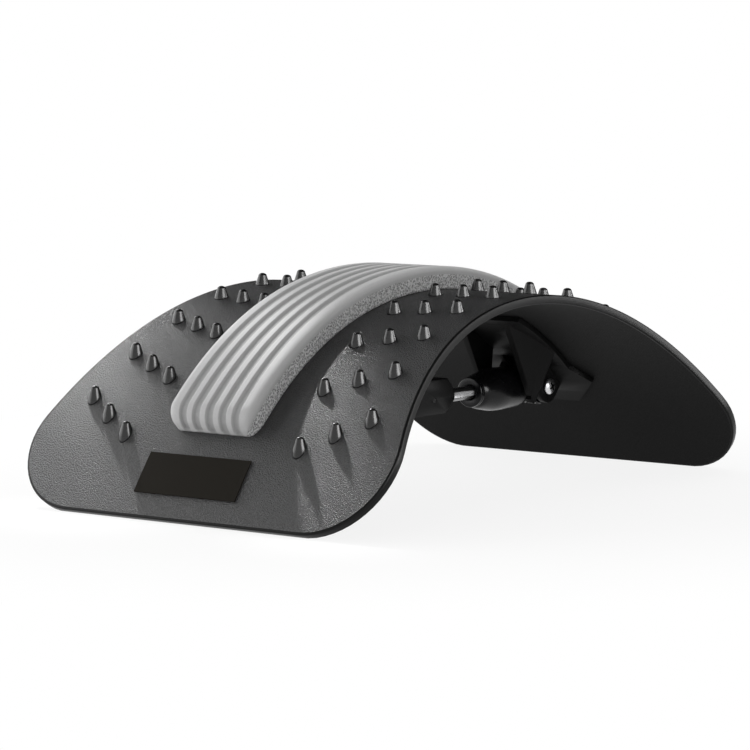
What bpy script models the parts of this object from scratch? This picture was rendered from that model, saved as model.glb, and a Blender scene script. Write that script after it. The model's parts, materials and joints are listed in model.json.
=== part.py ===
"""Back stretcher: a springy arched plate, a ribbed foam pad and a telescoping strut under the arch.

Sizes are in metres. X runs across the plate, Y along it and Z up. The origin is on the floor,
under the middle of the crown. The near leg is at -Y, the far leg at +Y.
"""

import math

import bmesh
import bpy
from mathutils import Matrix, Vector

GAP = 0.0003
LEGS = {1: "far", -1: "near"}

# Arched plate: sizes along the sheet are arc lengths from the crown
PLATE_THICKNESS = 0.005
PLATE_HALF_LENGTH = 0.234
PLATE_HALF_WIDTH = 0.127
WAIST_HALF_WIDTH = 0.101
CORNER_RADIUS = 0.045
CROWN_RADIUS = 0.2325
CROWN_HALF_ARC = 0.057
SHOULDER_RADIUS = 0.2045
FOOT_RADIUS = 0.530
FOOT_ARC = 0.038
FOOT_TRIM = 0.0008
PLATE_STEPS = 18
CORNER_STEPS = 8
PLATE_COLUMNS = 10

# Nubs: they all stand upright, in rows along the plate and columns across it, inner column first
NUB_ROWS = 10
NUB_HEIGHT = 0.0068
NUB_BASE_RADIUS = 0.0042
NUB_TIP_RADIUS = 0.0024
NUB_TIP_ROUNDING = 0.0012
NUB_ROOT = 0.0015
NUB_SIDES = 10
NUB_PITCHES = (0.0409, 0.0385, 0.0360)
NUB_WAIST_OFFSETS = (0.0447, 0.0633, 0.0828)
NUB_SPREADS = (0.00083, 0.00083, 0.00076)

# Foam pad: it ends at a set distance short of the label. A curve's points are shares of the way
# out and of the way down.
PAD_TO_LABEL = 0.0150
PAD_HALF_WIDTH = 0.0297
PAD_HEIGHT = 0.013
PAD_SIDE_HEIGHT = 0.0098
PAD_END_HEIGHT = 0.002
PAD_END_ROUNDING = 0.011
PAD_END_STEPS = (0.0, 0.04, 0.16, 0.38, 0.68)
PAD_SHOULDER_CURVE = ((0.0, 0.0), (0.5, 0.13), (0.87, 0.5), (1.0, 1.0))
PAD_ROWS = 28
GROOVE_COUNT = 5
GROOVE_PITCH = 0.00935
GROOVE_DEPTH = 0.0015
GROOVE_WIDTH = 0.0048
GROOVE_FLOOR = 0.0024

# Blank label
LABEL_WIDTH = 0.071
LABEL_LENGTH = 0.025
LABEL_THICKNESS = 0.0006
LABEL_OFFSET = -0.0015
LABEL_FROM_PLATE_END = 0.0145

# Brackets: heights up the leg start at the flange's lower end, drops are below the sheet's middle
FLANGE_FROM_PLATE_END = 0.052
FLANGE_LENGTH = 0.096
FLANGE_THICKNESS = 0.003
FLANGE_HALF_WIDTH = 0.031
FLANGE_FOOT_WIDEST_UP = 0.019
FLANGE_FOOT_TOP_UP = 0.032
FLANGE_FOOT_HALF_WIDTH = 0.042
FLANGE_END_HALF_WIDTH = 0.024
PIVOT_UP = 0.025
PIVOT_DROP = 0.0150
CHEEK_INNER = 0.0135
CHEEK_THICKNESS = 0.0035
CHEEK_RADIUS = 0.0100
GUSSET_INNER = 0.0150
GUSSET_THICKNESS = 0.0040
GUSSET_TOP_UP = 0.090
GUSSET_BOTTOM_UP = 0.051
GUSSET_TIP_UP = 0.0365
GUSSET_TIP_DROP = 0.0315
GUSSET_TIP_RADIUS = 0.0030
WINDOW_TOP_UP = 0.043
WINDOW_BOTTOM_UP = 0.009
WINDOW_HALF_WIDTH = 0.0127

# Bracket screws, sunk in the sheet under the pad: places across the leg and up it, then sizes
SCREW_PLACES = ((0.0172, 0.078), (0.0235, 0.016))
SCREW_HEAD_RADIUS = 0.0034
SCREW_HEAD_HEIGHT = 0.0022
SCREW_SINK = 0.0002
SCREW_RADIUS = 0.0016
SCREW_TIP_COVER = 0.0008

# Pivots
BOLT_RADIUS = 0.0030
BOLT_HEAD_RADIUS = 0.0050
BOLT_HEAD_HEIGHT = 0.0030
BOLT_HEAD_CURVE = ((0.0, 1.0), (0.6, 0.92), (0.92, 0.55), (1.0, 0.0))
BOLT_HOLE_CLEARANCE = 0.0003
BOLT_TIP = 0.0015
NUT_ACROSS_FLATS = 0.010
NUT_THICKNESS = 0.0040
WASHER_RADIUS = 0.0080
WASHER_THICKNESS = 0.0010
EYE_RADIUS = 0.0112
BUSH_RADIUS = 0.0052
NEAR_BUSH_PLAY = 0.0005

# Strut: places along it are distances from the far pivot
BARREL_LENGTH = 0.055
BARREL_MOUTH_RADIUS = 0.0092
BARREL_BULGE_RADIUS = 0.0130
BARREL_TAIL_RADIUS = 0.0124
BARREL_BULGE_AT = 0.034
BARREL_BODY_END = 0.008
BARREL_TAIL_CURVE = ((0.0, 0.0), (0.8, 0.0), (0.97, 0.004), (1.0, 0.008))
BARREL_SWELL_CURVE = ((0.0, 0.0), (0.1, 0.28), (0.38, 0.58), (0.72, 0.86), (1.0, 1.0))
BORE_RADIUS = 0.0080
BORE_END = 0.0125
COLLAR_RADIUS = 0.0090
COLLAR_THICKNESS = 0.0035
COLLAR_SPIGOT = 0.0040
COLLAR_MOUTH_RADIUS = 0.0052
COLLAR_MOUTH_DEPTH = 0.0016
COLLAR_EDGE = 0.0008
SEAL_THICKNESS = 0.0022
GUIDE_LENGTH = 0.0055
PISTON_THICKNESS = 0.0070
PISTON_AT = 0.0170
PISTON_EDGE = 0.0006
ROD_RADIUS = 0.0040
ROD_NECK_RADIUS = 0.0025
ROD_CLEARANCE = 0.0003
ROD_EDGE = 0.0010
ROD_SHOWING = 0.0305
ROD_IN_ARM = 0.0280
PISTON_NUT_FLATS = 0.0090
PISTON_NUT_THICKNESS = 0.0025

# Arm between the rod and the near leg
HEAD_LENGTH = 0.0370
HEAD_HALF_WIDTH = 0.0120
HEAD_TOP = 0.0125
HEAD_BOTTOM = 0.0085
HEAD_NOSE = 0.0070
HEAD_FACE_BOTTOM = 0.0009
HEAD_FACE_TOP = 0.0044
HEAD_BREAK_BACK = 0.0035
HEAD_BREAK_TOP = 0.0088
HEAD_EDGE = 0.0012
HEAD_FLARE_LEVEL = 0.0015
HEAD_FLARE_INSET = 0.0025
BEAM_HALF_WIDTH = 0.0090
BEAM_HALF_HEIGHT = 0.0075
BEAM_TAPER = 0.0300
POCKET_COUNT = 5
POCKET_DEPTH = 0.0050
POCKET_RIB = 0.0040
POCKET_WALL = 0.0025
PIN_RADIUS = 0.0015
PIN_INSET = 0.0005
PIN_FROM_END = 0.0080

ROUND_SIDES = 24
SMALL_SIDES = 14
SHEET_SMOOTH_ANGLE = math.radians(40)
PAD_SMOOTH_ANGLE = math.radians(50)


def slope_and_place(along):
    """Follow the three tangent arcs of one leg and return how far out, how far down and the slope."""
    shoulder_arc = PLATE_HALF_LENGTH - CROWN_HALF_ARC - FOOT_ARC
    arcs = (
        (CROWN_RADIUS, CROWN_HALF_ARC),
        (SHOULDER_RADIUS, shoulder_arc),
        (FOOT_RADIUS, FOOT_ARC),
    )
    out = down = slope = 0.0
    left = abs(along)
    for radius, length in arcs:
        step = min(left, length)
        turned = slope + step / radius
        out += radius * (math.sin(turned) - math.sin(slope))
        down += radius * (math.cos(slope) - math.cos(turned))
        slope = turned
        left -= step
    return out, down, slope


def crown_height():
    """Return the height of the sheet's middle surface at the crown."""
    _, down, slope = slope_and_place(PLATE_HALF_LENGTH)
    return down + PLATE_THICKNESS / 2 * math.cos(slope) - FOOT_TRIM


def arch_point(across, along, lift):
    """Return the point that lies lift outside the sheet's middle surface."""
    out, down, slope = slope_and_place(along)
    side = math.copysign(1.0, along)
    y = side * (out + lift * math.sin(slope))
    return Vector((across, y, crown_height() - down + lift * math.cos(slope)))


def arch_frame(across, along, lift):
    """Return the matrix that puts Z on the sheet's outward normal at a point."""
    slope = slope_and_place(along)[2]
    tilt = -math.copysign(slope, along)
    return Matrix.Translation(arch_point(across, along, lift)) @ Matrix.Rotation(tilt, 4, "X")


def corner_centre():
    """Return the plan position of a corner arc's centre: across the sheet, then along it."""
    return PLATE_HALF_WIDTH - CORNER_RADIUS, PLATE_HALF_LENGTH - CORNER_RADIUS


def waist_radius():
    """Return the radius of the concave waist arc that runs tangent into both corner arcs."""
    across, along = corner_centre()
    inset = WAIST_HALF_WIDTH - across
    return (inset**2 + along**2 - CORNER_RADIUS**2) / (2 * (CORNER_RADIUS - inset))


def waist_end():
    """Return where along the sheet the waist arc meets the corner arc."""
    along = corner_centre()[1]
    return along * (1 - CORNER_RADIUS / (waist_radius() + CORNER_RADIUS))


def plate_half_width(along):
    """Return the half-width of the flat sheet at a distance from the crown."""
    distance = abs(along)
    if distance < waist_end():
        radius = waist_radius()
        return WAIST_HALF_WIDTH + radius - math.sqrt(radius**2 - distance**2)
    across, centre = corner_centre()
    reach = min(distance - centre, CORNER_RADIUS)
    return across + math.sqrt(CORNER_RADIUS**2 - reach**2)


def plate_stations():
    """Return the rows of the sheet: even along the waist, then even round each corner arc."""
    end = waist_end()
    centre = corner_centre()[1]
    start = math.asin((end - centre) / CORNER_RADIUS)
    half = [end * i / PLATE_STEPS for i in range(PLATE_STEPS)]
    for i in range(CORNER_STEPS + 1):
        angle = start + (math.pi / 2 - start) * i / CORNER_STEPS
        half.append(centre + CORNER_RADIUS * math.sin(angle))
    return [-s for s in reversed(half[1:])] + half


def bracket_along(up):
    """Return how far along the sheet a place is that lies up from a bracket flange's lower end."""
    return PLATE_HALF_LENGTH - FLANGE_FROM_PLATE_END - up


def pad_half_length():
    """Return the pad's half-length, which ends short of the label."""
    return PLATE_HALF_LENGTH - LABEL_FROM_PLATE_END - LABEL_LENGTH - PAD_TO_LABEL


def pivot_point(side):
    """Return the pivot's centre under one leg."""
    return arch_point(0.0, side * bracket_along(PIVOT_UP), -PIVOT_DROP)


def strut_place(distance):
    """Return the Y of a place on the strut, given as a distance from the far pivot."""
    return pivot_point(1).y - distance


def eye_half_width():
    """Return the half-width of the strut's eyes, which leave room for a washer on each side."""
    return CHEEK_INNER - WASHER_THICKNESS - 2 * GAP


def clear_scene():
    """Remove what the scene holds."""
    for item in list(bpy.data.objects):
        bpy.data.objects.remove(item, do_unlink=True)


def add_collection(name):
    """Add a collection to the scene."""
    collection = bpy.data.collections.new(name)
    bpy.context.scene.collection.children.link(collection)
    return collection


def add_material(name, colour, roughness, metallic=0.0):
    """Add a Principled material."""
    material = bpy.data.materials.new(name)
    material.use_nodes = True
    shader = material.node_tree.nodes["Principled BSDF"]
    shader.inputs["Base Color"].default_value = (*colour, 1.0)
    shader.inputs["Roughness"].default_value = roughness
    shader.inputs["Metallic"].default_value = metallic
    return material


class Shop:
    """Holds the collections, the materials and the joints' empties while the parts are made."""

    def __init__(self):
        self.parts = add_collection("back_stretcher")
        self.tools = add_collection("cutters")
        self.materials = {
            "plate": add_material("moulded_black", (0.045, 0.045, 0.048), 0.5),
            "foam": add_material("grey_foam", (0.45, 0.45, 0.45), 0.9),
            "label": add_material("label_black", (0.02, 0.018, 0.015), 0.4),
            "bracket": add_material("bracket_black", (0.03, 0.03, 0.03), 0.45),
            "barrel": add_material("gloss_black", (0.012, 0.012, 0.013), 0.15),
            "steel": add_material("bright_steel", (0.75, 0.75, 0.76), 0.2, 1.0),
            "rubber": add_material("black_rubber", (0.02, 0.02, 0.02), 0.7),
            "bush": add_material("pale_nylon", (0.6, 0.6, 0.56), 0.4),
        }
        self.joints = {
            "near_leg": self.add_joint("near_leg_axis", Vector((0.0, 0.0, crown_height()))),
            "barrel": self.add_joint("barrel_axis", pivot_point(1)),
        }
        self.joints["rod"] = self.add_joint(
            "rod_axis", Vector((0.0, strut_place(BARREL_LENGTH), pivot_point(1).z))
        )
        self.ride(self.joints["rod"], "barrel")

    def add_joint(self, name, place):
        """Add the empty that a moving body hangs on."""
        empty = bpy.data.objects.new(name, None)
        empty.location = place
        self.parts.objects.link(empty)
        return empty

    def ride(self, item, body):
        """Hang an object on a body's empty without moving it."""
        if body == "root":
            return
        empty = self.joints[body]
        place = Matrix.Translation(empty.location)
        item.parent = empty
        item.matrix_parent_inverse = place.inverted()

    def add_part(self, name, mesh, material, body):
        """Add one named part."""
        mesh.materials.append(self.materials[material])
        item = bpy.data.objects.new(name, mesh)
        self.parts.objects.link(item)
        self.ride(item, body)
        return item

    def add_tool(self, name, mesh):
        """Add an object that only cuts or joins."""
        item = bpy.data.objects.new(name, mesh)
        self.tools.objects.link(item)
        item.hide_render = True
        item.display_type = "WIRE"
        return item

    def combine(self, item, tool, operation):
        """Cut or join one object with another."""
        modifier = item.modifiers.new(f"{operation.lower()}_{tool.name}", "BOOLEAN")
        modifier.operation = operation
        modifier.solver = "EXACT"
        modifier.object = tool


def finish_mesh(bm, name, smooth_angle=None):
    """Turn a bmesh into a mesh, with its round faces shaded smooth where an angle is given."""
    mesh = bpy.data.meshes.new(name)
    bm.to_mesh(mesh)
    bm.free()
    if smooth_angle is not None:
        mesh.shade_smooth()
        mesh.set_sharp_from_angle(angle=smooth_angle)
    return mesh


def sheet_mesh(name, stations, half_width, lift, columns, offset=0.0):
    """Make an open sheet that follows the arch, one row of points at each station."""
    bm = bmesh.new()
    rows = []
    for along in stations:
        reach = half_width(along)
        row = []
        for column in range(columns + 1):
            across = offset + reach * (2 * column / columns - 1)
            row.append(bm.verts.new(arch_point(across, along, lift)))
        rows.append(row)
    for first, second in zip(rows, rows[1:]):
        for column in range(columns):
            corners = (first[column], first[column + 1], second[column + 1], second[column])
            bm.faces.new(corners)
    return finish_mesh(bm, name, SHEET_SMOOTH_ANGLE)


def thicken(item, thickness):
    """Give an open sheet its thickness, half to each side."""
    modifier = item.modifiers.new("thickness", "SOLIDIFY")
    modifier.thickness = thickness
    modifier.offset = 0.0
    modifier.use_even_offset = True


def loft_mesh(name, rings, smooth_angle=None):
    """Join closed rings of points into one capped solid."""
    bm = bmesh.new()
    loops = [[bm.verts.new(point) for point in ring] for ring in rings]
    count = len(loops[0])
    for first, second in zip(loops, loops[1:]):
        for i in range(count):
            j = (i + 1) % count
            bm.faces.new((first[i], first[j], second[j], second[i]))
    bm.faces.new(list(reversed(loops[0])))
    bm.faces.new(loops[-1])
    bmesh.ops.recalc_face_normals(bm, faces=bm.faces)
    return finish_mesh(bm, name, smooth_angle)


def plate_profile(outline, low, high):
    """Return the two rings of a flat piece whose YZ outline spans two places across."""
    return [[Vector((across, y, z)) for y, z in outline] for across in (low, high)]


def turned(shop, name, profile, material, body, place, axis, sides, closed):
    """Turn a profile of (radius, height) points about an axis through a place."""
    bm = bmesh.new()
    points = [bm.verts.new((radius, 0.0, height)) for radius, height in profile]
    for first, second in zip(points, points[1:]):
        bm.edges.new((first, second))
    if closed:
        bm.edges.new((points[-1], points[0]))
    item = shop.add_part(name, finish_mesh(bm, name), material, body)
    turn = item.modifiers.new("turn", "SCREW")
    turn.steps = sides
    turn.render_steps = sides
    turn.use_merge_vertices = True
    turn.merge_threshold = 0.00001
    turn.use_smooth_shade = True
    item.location = place
    if axis == "Y":
        item.rotation_euler = (-math.pi / 2, 0.0, 0.0)
    elif axis == "X":
        item.rotation_euler = (0.0, math.pi / 2, 0.0)
    return item


def tube_profile(outer, inner, low, high, edge=0.0):
    """Return the closed section of a tube, its outer edges chamfered."""
    section = [(outer - edge, high), (outer, high - edge), (outer, low + edge), (outer - edge, low)]
    if edge == 0.0:
        section = [(outer, high), (outer, low)]
    return section + [(inner, low), (inner, high)]


def rod_mesh(name, radius, start, end, sides):
    """Make a plain round bar from one point to another."""
    bm = bmesh.new()
    run = Vector(end) - Vector(start)
    turn = Vector((0.0, 0.0, 1.0)).rotation_difference(run).to_matrix().to_4x4()
    place = Matrix.Translation((Vector(start) + Vector(end)) / 2) @ turn
    bmesh.ops.create_cone(
        bm,
        cap_ends=True,
        segments=sides,
        radius1=radius,
        radius2=radius,
        depth=run.length,
        matrix=place,
    )
    return finish_mesh(bm, name)


def box_mesh(name, low, high):
    """Make a box between two corners."""
    bm = bmesh.new()
    low = Vector(low)
    high = Vector(high)
    size = Matrix.Diagonal((*(high - low), 1.0))
    bmesh.ops.create_cube(bm, size=1.0, matrix=Matrix.Translation((low + high) / 2) @ size)
    return finish_mesh(bm, name)


def add_nut(shop, name, flats, hole, low, high, body, place, axis):
    """Add a six-sided nut with a round hole, its ends at two distances along an axis."""
    rings = []
    for height in (low, high):
        outer = []
        inner = []
        for i in range(ROUND_SIDES):
            angle = 2 * math.pi * i / ROUND_SIDES
            flat = angle % (math.pi / 3) - math.pi / 6
            reach = flats / 2 / math.cos(flat)
            outer.append(Vector((reach * math.cos(angle), reach * math.sin(angle), height)))
            inner.append(Vector((hole * math.cos(angle), hole * math.sin(angle), height)))
        rings.append((outer, inner))
    bm = bmesh.new()
    (low_out, low_in), (high_out, high_in) = [
        [[bm.verts.new(point) for point in ring] for ring in pair] for pair in rings
    ]
    for i in range(ROUND_SIDES):
        j = (i + 1) % ROUND_SIDES
        bm.faces.new((low_out[i], low_out[j], high_out[j], high_out[i]))
        bm.faces.new((low_in[j], low_in[i], high_in[i], high_in[j]))
        bm.faces.new((low_out[j], low_out[i], low_in[i], low_in[j]))
        bm.faces.new((high_out[i], high_out[j], high_in[j], high_in[i]))
    item = shop.add_part(name, finish_mesh(bm, name), "steel", body)
    item.location = place
    if axis == "Y":
        item.rotation_euler = (-math.pi / 2, 0.0, 0.0)
    else:
        item.rotation_euler = (0.0, math.pi / 2, 0.0)


def nub_places():
    """Return each nub's place across the sheet and along it."""
    places = []
    for pitch, waist, spread in zip(NUB_PITCHES, NUB_WAIST_OFFSETS, NUB_SPREADS):
        for row in range(NUB_ROWS):
            step = row - (NUB_ROWS - 1) / 2
            across = waist + spread * step**2
            places.append((across, pitch * step))
            places.append((-across, pitch * step))
    return places


def nub_mesh():
    """Make one nub standing on Z: a cone with a chamfered tip and a root inside the sheet."""
    bm = bmesh.new()
    depth = NUB_HEIGHT + NUB_ROOT
    growth = (NUB_BASE_RADIUS - NUB_TIP_RADIUS) / NUB_HEIGHT
    bmesh.ops.create_cone(
        bm,
        cap_ends=True,
        segments=NUB_SIDES,
        radius1=NUB_BASE_RADIUS + growth * NUB_ROOT,
        radius2=NUB_TIP_RADIUS,
        depth=depth,
        matrix=Matrix.Translation((0.0, 0.0, depth / 2 - NUB_ROOT)),
    )
    middle = NUB_HEIGHT / 2
    tip = [edge for edge in bm.edges if all(vert.co.z > middle for vert in edge.verts)]
    bmesh.ops.bevel(bm, geom=tip, offset=NUB_TIP_ROUNDING, segments=1, affect="EDGES")
    return finish_mesh(bm, "nub")


def nub_field(shop):
    """Gather all the upright nubs in one tool, their roots cut to the slope of the sheet."""
    nub = nub_mesh()
    bm = bmesh.new()
    for across, along in nub_places():
        before = len(bm.verts)
        bm.from_mesh(nub)
        bm.verts.ensure_lookup_table()
        place = arch_point(across, along, PLATE_THICKNESS / 2)
        fall = math.copysign(math.tan(slope_and_place(along)[2]), along)
        for vert in bm.verts[before:]:
            if vert.co.z < 0.0:
                vert.co.z -= vert.co.y * fall
            vert.co += place
    return shop.add_tool("nub_field", finish_mesh(bm, "nub_field"))


def screw_places(side):
    """Return the places of one bracket's screws across the sheet and along it."""
    places = []
    for across, up in SCREW_PLACES:
        places.append((across, side * bracket_along(up)))
        places.append((-across, side * bracket_along(up)))
    return places


def flange_face():
    """Return the lift of the bracket flange's lower face."""
    return -(PLATE_THICKNESS / 2 + GAP + FLANGE_THICKNESS)


def screw_length():
    """Return a screw's length, from its head's face to just short of the flange's lower face."""
    return PLATE_THICKNESS / 2 - SCREW_SINK - flange_face() - SCREW_TIP_COVER


def screw_holes(shop, side, name):
    """Make the drill that countersinks the sheet and goes part of the way into the flange."""
    bm = bmesh.new()
    face = PLATE_THICKNESS / 2
    low = face - SCREW_SINK - screw_length() - GAP
    throat = face - SCREW_SINK - SCREW_HEAD_HEIGHT
    slope = (SCREW_HEAD_RADIUS - SCREW_RADIUS) / SCREW_HEAD_HEIGHT
    mouth = SCREW_HEAD_RADIUS + GAP + slope * 2 * SCREW_SINK
    for across, along in screw_places(side):
        sizes = (
            (SCREW_RADIUS + GAP, SCREW_RADIUS + GAP, low, throat),
            (SCREW_RADIUS + GAP, mouth, throat, face + SCREW_SINK),
        )
        drill = bmesh.new()
        for low_radius, high_radius, start, end in sizes:
            bmesh.ops.create_cone(
                drill,
                segments=SMALL_SIDES,
                radius1=low_radius,
                radius2=high_radius,
                depth=end - start,
                matrix=arch_frame(across, along, (start + end) / 2),
            )
        bmesh.ops.remove_doubles(drill, verts=drill.verts, dist=0.000001)
        bmesh.ops.holes_fill(drill, edges=drill.edges)
        mesh = finish_mesh(drill, "drill")
        bm.from_mesh(mesh)
    return shop.add_tool(name, finish_mesh(bm, name))


def make_plate(shop, drills):
    """Make the springy sheet with its nubs, screw holes and flat-trimmed feet."""
    mesh = sheet_mesh("arch_plate", plate_stations(), plate_half_width, 0.0, PLATE_COLUMNS)
    plate = shop.add_part("arch_plate", mesh, "plate", "root")
    thicken(plate, PLATE_THICKNESS)
    shop.combine(plate, nub_field(shop), "UNION")
    for drill in drills:
        shop.combine(plate, drill, "DIFFERENCE")
    reach = PLATE_HALF_LENGTH
    low = (-reach, -reach, -PLATE_THICKNESS)
    floor = shop.add_tool("floor_cut", box_mesh("floor_cut", low, (reach, reach, 0.0)))
    shop.combine(plate, floor, "DIFFERENCE")


def pad_section():
    """Return half of the pad's upper outline, from the middle groove to the side's foot."""
    bottom = PAD_HEIGHT - GROOVE_DEPTH
    grooves = (GROOVE_COUNT - 1) // 2
    points = [(0.0, bottom), (GROOVE_FLOOR / 2, bottom)]
    for groove in range(1, grooves + 1):
        centre = groove * GROOVE_PITCH
        points.append((centre - GROOVE_PITCH + GROOVE_WIDTH / 2, PAD_HEIGHT))
        points.append((centre - GROOVE_WIDTH / 2, PAD_HEIGHT))
        points.append((centre - GROOVE_FLOOR / 2, bottom))
        points.append((centre + GROOVE_FLOOR / 2, bottom))
    last = grooves * GROOVE_PITCH + GROOVE_WIDTH / 2
    for out, down in PAD_SHOULDER_CURVE:
        across = last + (PAD_HALF_WIDTH - last) * out
        points.append((across, PAD_HEIGHT - (PAD_HEIGHT - PAD_SIDE_HEIGHT) * down))
    points.append((PAD_HALF_WIDTH, 0.0))
    return points


def pad_ring(along):
    """Return the pad's section at one place, drawn in and lowered where the ends round off."""
    to_end = pad_half_length() - abs(along)
    short = max(PAD_END_ROUNDING - to_end, 0.0)
    curve = math.sqrt(PAD_END_ROUNDING**2 - short**2)
    draw_in = PAD_END_ROUNDING - curve
    rise = PAD_END_HEIGHT + (PAD_HEIGHT - PAD_END_HEIGHT) * curve / PAD_END_ROUNDING
    narrower = (PAD_HALF_WIDTH - draw_in) / PAD_HALF_WIDTH
    base = PLATE_THICKNESS / 2 + GAP
    half = pad_section()
    outline = [(-across, height) for across, height in reversed(half[1:])] + half
    ring = []
    for across, height in outline:
        ring.append(arch_point(across * narrower, along, base + height * rise / PAD_HEIGHT))
    return ring


def make_pad(shop):
    """Make the ribbed foam pad as one loft along the arch."""
    ends = [pad_half_length() - PAD_END_ROUNDING * step for step in PAD_END_STEPS]
    body = pad_half_length() - PAD_END_ROUNDING
    middle = [body * (2 * i / PAD_ROWS - 1) for i in range(PAD_ROWS + 1)]
    stations = [-s for s in ends] + middle + list(reversed(ends))
    mesh = loft_mesh("foam_pad", [pad_ring(s) for s in stations], PAD_SMOOTH_ANGLE)
    shop.add_part("foam_pad", mesh, "foam", "root")


def make_label(shop):
    """Make the blank label that lies on the near end."""
    steps = 4
    start = LABEL_FROM_PLATE_END - PLATE_HALF_LENGTH
    stations = [start + LABEL_LENGTH * i / steps for i in range(steps + 1)]
    lift = PLATE_THICKNESS / 2 + GAP + LABEL_THICKNESS / 2
    mesh = sheet_mesh("label_plate", stations, lambda _: LABEL_WIDTH / 2, lift, 2, LABEL_OFFSET)
    label = shop.add_part("label_plate", mesh, "label", "near_leg")
    thicken(label, LABEL_THICKNESS)


def flange_half_width(along):
    """Return the flange's half-width: straight, then a wider foot with chamfered corners."""
    up = bracket_along(0.0) - abs(along)
    if up >= FLANGE_FOOT_TOP_UP:
        return FLANGE_HALF_WIDTH
    if up >= FLANGE_FOOT_WIDEST_UP:
        share = (FLANGE_FOOT_TOP_UP - up) / (FLANGE_FOOT_TOP_UP - FLANGE_FOOT_WIDEST_UP)
        return FLANGE_HALF_WIDTH + share * (FLANGE_FOOT_HALF_WIDTH - FLANGE_HALF_WIDTH)
    share = up / FLANGE_FOOT_WIDEST_UP
    return FLANGE_END_HALF_WIDTH + share * (FLANGE_FOOT_HALF_WIDTH - FLANGE_END_HALF_WIDTH)


def flange_line(side, top, bottom, steps, lift):
    """Return YZ points that follow a leg at one lift, from one height up it down to another."""
    points = []
    for i in range(steps + 1):
        along = bracket_along(top + (bottom - top) * i / steps)
        point = arch_point(0.0, side * along, lift)
        points.append((point.y, point.z))
    return points


def arc_line(side, up, drop, radius, spread, steps):
    """Return YZ points round the free side of a boss below the leg, from its lower end round."""
    frame = arch_frame(0.0, side * bracket_along(up), -drop)
    points = []
    for i in range(steps + 1):
        angle = spread * (1 - 2 * i / steps)
        local = Vector((0.0, side * radius * math.sin(angle), -radius * math.cos(angle)))
        point = frame @ local
        points.append((point.y, point.z))
    return points


def cheek_rings(side, mirror):
    """Return the two rings of one cheek, which carries the pivot bolt."""
    middle = flange_face() + FLANGE_THICKNESS / 2
    outline = flange_line(side, PIVOT_UP + CHEEK_RADIUS, PIVOT_UP - CHEEK_RADIUS, 3, middle)
    outline += arc_line(side, PIVOT_UP, PIVOT_DROP, CHEEK_RADIUS, math.pi / 2, 10)
    return plate_profile(outline, mirror * CHEEK_INNER, mirror * (CHEEK_INNER + CHEEK_THICKNESS))


def gusset_rings(side, mirror):
    """Return the two rings of one gusset, whose outer face flares to the flange's edge."""
    steps = 3
    middle = flange_face() + FLANGE_THICKNESS / 2
    top = flange_line(side, GUSSET_TOP_UP, GUSSET_BOTTOM_UP, steps, middle)
    tip = arc_line(side, GUSSET_TIP_UP, GUSSET_TIP_DROP, GUSSET_TIP_RADIUS, math.pi / 2, 4)
    inner = plate_profile(top + tip, mirror * GUSSET_INNER, mirror * GUSSET_INNER)[0]
    flare = FLANGE_HALF_WIDTH - GUSSET_INNER - GUSSET_THICKNESS
    outer = []
    for i, (y, z) in enumerate(top + tip):
        reach = GUSSET_INNER + GUSSET_THICKNESS
        if i <= steps:
            reach += flare * i / steps
        outer.append(Vector((mirror * reach, y, z)))
    return [inner, outer]


def bracket_ribs(shop, side, name):
    """Gather a bracket's cheeks and gussets in one tool."""
    bm = bmesh.new()
    for mirror in (1, -1):
        for rings in (cheek_rings(side, mirror), gusset_rings(side, mirror)):
            bm.from_mesh(loft_mesh("rib", rings))
    return shop.add_tool(name, finish_mesh(bm, name))


def window_rings(side):
    """Return the rings of the cut that gives the strut's eye room between the cheeks."""
    steps = 3
    above = -PLATE_THICKNESS / 2
    below = flange_face() - FLANGE_THICKNESS
    outline = flange_line(side, WINDOW_TOP_UP, WINDOW_BOTTOM_UP, steps, above)
    outline += flange_line(side, WINDOW_BOTTOM_UP, WINDOW_TOP_UP, steps, below)
    return plate_profile(outline, -WINDOW_HALF_WIDTH, WINDOW_HALF_WIDTH)


def make_bracket(shop, side, leg, drill, body):
    """Make one bracket: a flange with a window, two cheeks and two flared gussets."""
    name = f"{leg}_bracket"
    breaks = (FLANGE_LENGTH, FLANGE_FOOT_TOP_UP, FLANGE_FOOT_WIDEST_UP, 0.0)
    heights = [0.0]
    for (top, bottom), steps in zip(zip(breaks, breaks[1:]), (6, 1, 2)):
        heights += [top + (bottom - top) * i / steps for i in range(steps)]
    lift = flange_face() + FLANGE_THICKNESS / 2
    rows = sorted(side * bracket_along(up) for up in heights)
    mesh = sheet_mesh(name, rows, flange_half_width, lift, 2)
    bracket = shop.add_part(name, mesh, "bracket", body)
    thicken(bracket, FLANGE_THICKNESS)
    shop.combine(bracket, bracket_ribs(shop, side, f"{leg}_ribs"), "UNION")
    window = shop.add_tool(f"{leg}_window", loft_mesh("window", window_rings(side)))
    shop.combine(bracket, window, "DIFFERENCE")
    shop.combine(bracket, drill, "DIFFERENCE")
    pivot = pivot_point(side)
    reach = Vector((2 * CHEEK_INNER, 0.0, 0.0))
    radius = BOLT_RADIUS + BOLT_HOLE_CLEARANCE
    bore = rod_mesh("bore", radius, pivot - reach, pivot + reach, ROUND_SIDES)
    shop.combine(bracket, shop.add_tool(f"{leg}_bolt_hole", bore), "DIFFERENCE")


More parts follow.
